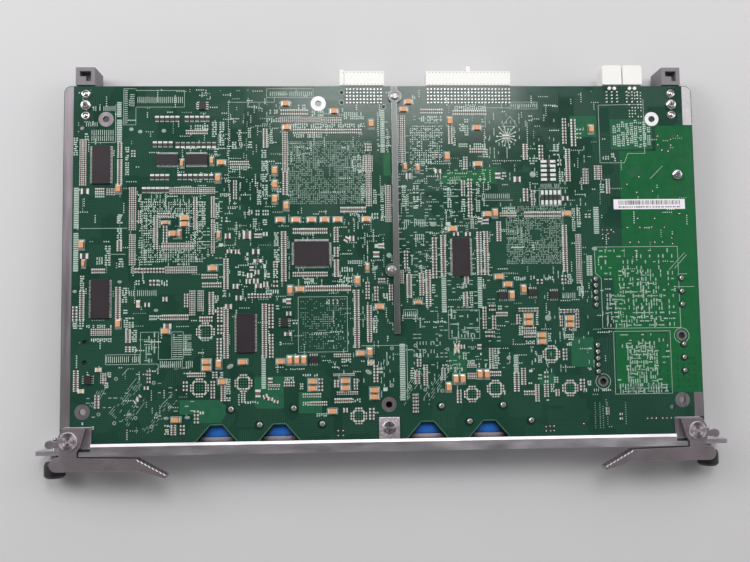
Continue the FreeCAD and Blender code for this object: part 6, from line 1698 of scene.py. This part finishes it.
def lands():
    heap, dull, holes, sunk = Heap(), Heap(), Heap(), Heap()
    for x, y in LEAD_DOTS:
        holes.dot(x, y, *LEAD_DISC, 1.0, SILK)
        heap.dome(x + LEAD_SHIFT[0], y + LEAD_SHIFT[1], LEAD_DOME, TOP, LEAD_RISE, *LEAD_STEPS)
    for land in LANDS:
        dull.prism(oval(*land), TOP, TOP + LAND_RISE, LAND_SLOPE)
    for places, ring, ring_sides, disc in ((SMALL_RINGS, TEST_RING, TEST_RING_SIDES, TEST_DISC),
                                           (PEG_HOLES, PEG_RING, PEG_RING_SIDES, PEG_HOLE_SHADE)):
        for x, y in places:
            dull.ring(x, y, *ring, DOT, ring_sides)
            holes.dot(x, y, *disc, 1.0, SILK)
    # Dark plugs of painted shade inside the blind holes
    for x, y, radius in BLIND_HOLES:
        holes.disc(x, y, radius, UNDER + SHADE_PLUG_LOW, TOP - SHADE_PLUG_HIGH, SHADE_PLUG_SIDES)
    for left, right, front, rear in DARK_GRIDS:
        for x in spread(left, right, DARK_PITCH):
            for y in spread(front, rear, DARK_PITCH):
                if free(x, y):
                    sunk.dot(x, y, DARK_RADIUS, DARK_SIDES, DARK_SLOPE, SUNK)
    piece("lead_ends", heap, solder, smooth=True)
    piece("dull_lands", dull, land_grey)
    piece("hole_shade_discs", holes, painted_hole_shade)
    piece("plane_vias", sunk, sunk_green)


# Solder: radius at tails, rise for the radius, sides and levels
TAIL_SOLDER = 0.6
TAIL_RISE = 0.7
TAIL_STEPS = (10, 3)
# Lumps over single joints: breadth for the joint's, how far under its top they end
LUMP_BROAD = 1.04
LUMP_UNDER = 0.05
LUMP_STEPS = (18, 5)
# Painted shadows under them, set off towards the front left: shift and breadth for the joint's radius
SHADOW_SHIFT = (-0.35, -0.3)
SHADOW_BROAD = 1.65
SHADOW_SIDES = 18
# Fillings of the eyelets: radius, how far under the rim they start, rise
EYELET_FILL = 1.3
FILL_UNDER = 0.45
FILL_RISE = 0.35


def solder_domes():
    """Solder round every pin that comes through the board, and round lumps over the single joints, each lump
    with a painted shadow beside it.
    """
    heap, joint_shadows, fills = Heap(), Heap(), Heap()
    for name in ("signal_tails_a", "signal_tails_b", "power_tails"):
        for box in solids_of(name):
            heap.dome(*middle_of(box), TAIL_SOLDER, TOP, TAIL_SOLDER * TAIL_RISE, *TAIL_STEPS)
    for box in solids_of("solder_joints"):
        radius = halves_of(box)[0]
        x, y = middle_of(box)
        heap.dome(x, y, radius * LUMP_BROAD, TOP, box[1][2] - TOP - LUMP_UNDER, *LUMP_STEPS)
        # A painted shadow beside each lump
        joint_shadows.dot(x + SHADOW_SHIFT[0], y + SHADOW_SHIFT[1], radius * SHADOW_BROAD, SHADOW_SIDES, 1.0)
    for box in solids_of("guide_eyelets"):
        fills.dome(*middle_of(box), EYELET_FILL, box[1][2] - FILL_UNDER, FILL_RISE, *LUMP_STEPS)
    piece("solder_domes", heap, solder, smooth=True)
    piece("painted_joint_shadows", joint_shadows, joint_shadow_green)
    piece("eyelet_solder", fills, eyelet_metal, smooth=True)


vias()
lands()
solder_domes()

# Painted highlights on the crests of the teeth on the levers' finger tabs

LEVER_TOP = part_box("lever_left")[1].z / MM
# Where the tab starts from the pivot and how far it runs, both towards the card's middle and forward
TAB_ROOT = (38.0, -10.1)
TAB_RUN = (16.5, -9.0)
TAB_TEETH = 8
TOOTH_DIP = 0.6
# Shares of a tooth between which its crest carries the painted highlight, and where the dip is deepest
CREST_SPAN = (0.08, 0.42)
DIP_SPAN = 0.7
CREST_WIDE = 0.55
CREST_SUNK = 0.3
CREST_PROUD = 0.02


def painted_tooth_highlights():
    for word, side in (("left", -1), ("right", 1)):
        heap = Heap()
        for tooth in range(TAB_TEETH):
            ends = []
            for share in CREST_SPAN:
                place = (tooth + share) / TAB_TEETH
                reach = TAB_ROOT[0] + TAB_RUN[0] * place
                drop = TAB_ROOT[1] + TAB_RUN[1] * place - TOOTH_DIP * share / DIP_SPAN
                ends.append((side * (PIVOT[0] - reach), PIVOT[1] + drop - CREST_WIDE))
            heap.stroke(*ends, CREST_WIDE, LEVER_TOP - CREST_SUNK, LEVER_TOP + CREST_PROUD)
        piece(f"painted_tooth_highlights_{word}", heap, crest_highlight_metal, f"lever_{word}_body")


painted_tooth_highlights()

# Painted shade lines and moulded marks on the signal connectors

# Dark line of painted shade behind the board's edge, where the connector meets it: distance, width, and how
# much shorter than the connector it is
SHADE_LINE_OUT = 0.5
SHADE_LINE = 0.35
SHADE_LINE_SHORT = 0.6
# Ticks along the edges: step, size, room at the left and right ends, distance from each edge
TICK_STEP = 2.0
TICK = (0.7, 0.3)
TICK_LEFT = 2.0
TICK_RIGHT = 1.0
TICK_FRONT = 1.3
TICK_REAR = 0.8
# The narrow connector's flange: place, width of its line, and how much shorter than the connector it is
FLANGE = 2.5
FLANGE_LINE = 0.25
FLANGE_SHORT = 1.4
CONNECTOR_DEEP = 9.0


def connector_gap_shade_and_marks():
    """A dark line of painted shade at the board's edge, ticks along the edges and the line of the narrow
    one's flange.
    """
    heap = Heap()
    for name in ("signal_connector_a", "signal_connector_b"):
        low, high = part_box(name)
        left, right, level = low.x / MM, high.x / MM, high.z / MM
        heap.block((left + right) / 2, BOARD_REAR + SHADE_LINE_OUT, right - left - SHADE_LINE_SHORT, SHADE_LINE,
                   level, level + DOT)
        for x in spread(left + TICK_LEFT, right - TICK_RIGHT, TICK_STEP):
            for y in (BOARD_REAR + TICK_FRONT, BOARD_REAR + CONNECTOR_DEEP - TICK_REAR):
                heap.block(x, y, *TICK, level, level + DOT)
    left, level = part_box("signal_connector_a")[0].x / MM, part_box("signal_connector_a")[1].z / MM
    heap.block(left + FLANGE, BOARD_REAR + CONNECTOR_DEEP / 2, FLANGE_LINE, CONNECTOR_DEEP - FLANGE_SHORT,
               level, level + DOT)
    piece("connector_gap_shade_and_marks", heap, gap_shade_and_mark_grey)


connector_gap_shade_and_marks()

# Label with plain bars

# Middle x, middle y, width, depth
LABEL = (155.8, 137.35, 42.4, 5.9)
LABEL_THICK = 0.12
LABEL_MARGIN = 3.0
# Ranks of bars: place across the label, depth, widths to choose from
LABEL_RANKS = [(0.95, 2.5, (0.25, 0.4, 0.7)), (-1.65, 0.8, (0.5, 0.8, 1.1))]
LABEL_GAPS = (0.3, 0.5, 0.8)
INK_LOW = 0.1
INK_HIGH = 0.135


def label():
    x, y, wide, deep = LABEL
    sheet, bars = Heap(), Heap()
    sheet.block(x, y, wide, deep, TOP, TOP + LABEL_THICK)
    for shift, tall, widths in LABEL_RANKS:
        left = x - wide / 2 + LABEL_MARGIN
        while left < x + wide / 2 - LABEL_MARGIN:
            width = chance.choice(widths)
            bars.block(left + width / 2, y + shift, width, tall, TOP + INK_LOW, TOP + INK_HIGH)
            left += width + chance.choice(LABEL_GAPS)
    piece("label_sheet", sheet, label_paper)
    piece("label_bars", bars, label_ink)


label()

# Painted shade in the cross recesses of the pan head screws

SCREWS = [(-170.9, 196.7), (170.9, 196.7), (173.0, 154.8)]
PAN_HEAD_TOP = TOP + 1.9
CROSS_TURNS = (25, 115)
CROSS_LONG = 2.6
CROSS_WIDE = 0.5
CROSS_SUNK = 0.3
CROSS_PROUD = 0.015


def screw_recess_shade():
    heap = Heap()
    for x, y in SCREWS:
        for turn in CROSS_TURNS:
            heap.block(x, y, CROSS_LONG, CROSS_WIDE, PAN_HEAD_TOP - CROSS_SUNK,
                       PAN_HEAD_TOP + CROSS_PROUD, turn)
    piece("screw_recess_shade", heap, painted_hole_shade)


screw_recess_shade()

# Camera, floor and light

# Place in millimetres and turn in degrees of the photo's camera, its focal length and image width in pixels
CAMERA_AT = (-27.17, -44.52, 506.99)
CAMERA_TURN = (4.2524, -2.4444, -0.7687)
FOCAL_PIXELS = 850.22
IMAGE_WIDTH = 750.0
SENSOR = 36.0
NEAREST = 0.01
FLOOR_SIZE = 6000
FLOOR_THICK = 2
# Light from all round: heights between which it fades, and its strength there
SKY_HEIGHTS = (0.35, 0.98)
SKY_STRENGTHS = (0.42, 0.10)
# Softboxes: name, place, aim, width, height, watts
SOFTBOXES = [
    ("rear_box", (0.0, 0.95, 0.95), (0.0, 0.0, 0.0), 1.9, 0.9, 6.5),
    ("left_box", (-0.95, 0.45, 0.75), (0.0, 0.0, 0.0), 0.6, 0.6, 7.0),
    ("right_box", (0.95, 0.35, 0.8), (0.0, 0.0, 0.0), 0.6, 0.6, 3.5),
    ("sheen_box", (0.10, 0.70, 1.2), (0.10, 0.70, 0.0), 0.48, 0.63, 5.7),
]


def camera():
    data = bpy.data.cameras.new("camera")
    data.sensor_width = SENSOR
    data.lens = FOCAL_PIXELS / IMAGE_WIDTH * SENSOR
    data.clip_start = NEAREST
    eye = bpy.data.objects.new("camera", data)
    eye.location = [c * MM for c in CAMERA_AT]
    eye.rotation_euler = Euler([math.radians(angle) for angle in CAMERA_TURN])
    bpy.context.scene.collection.objects.link(eye)
    bpy.context.scene.camera = eye


def floor():
    heap = Heap()
    heap.block(0, -PLATE_Y, FLOOR_SIZE, FLOOR_SIZE, -FLOOR_THICK, 0)
    paper = finish("floor_paper", (0.62, 0.61, 0.62), 0.8, tone=0.01, grain=30.0, bump=0.02)
    ground = placed("floor", heap, paper)


def softbox(name, at, aim, wide, tall, watts):
    data = bpy.data.lights.new(name, "AREA")
    data.shape = "RECTANGLE"
    data.size = wide
    data.size_y = tall
    data.energy = watts
    lamp = bpy.data.objects.new(name, data)
    lamp.location = at
    toward = Vector(aim) - Vector(at)
    lamp.rotation_euler = toward.to_track_quat("-Z", "Y").to_euler()
    bpy.context.scene.collection.objects.link(lamp)


def sky():
    """Light from all round, dimmer straight overhead where the camera stands."""
    world = bpy.data.worlds.new("studio")
    bpy.context.scene.world = world
    world.use_nodes = True
    tree = world.node_tree
    back = tree.nodes["Background"]
    place = tree.nodes.new("ShaderNodeTexCoord")
    split = tree.nodes.new("ShaderNodeSeparateXYZ")
    tree.links.new(place.outputs["Generated"], split.inputs["Vector"])
    ramp = tree.nodes.new("ShaderNodeMapRange")
    tree.links.new(split.outputs["Z"], ramp.inputs["Value"])
    for word, numbers in (("From", SKY_HEIGHTS), ("To", SKY_STRENGTHS)):
        for end, number in zip(("Min", "Max"), numbers):
            ramp.inputs[f"{word} {end}"].default_value = number
    tree.links.new(ramp.outputs["Result"], back.inputs["Strength"])
    back.inputs["Color"].default_value = (1.0, 1.0, 1.0, 1.0)


camera()
floor()
sky()
for box in SOFTBOXES:
    softbox(*box)
bpy.context.scene.view_settings.view_transform = "Standard"
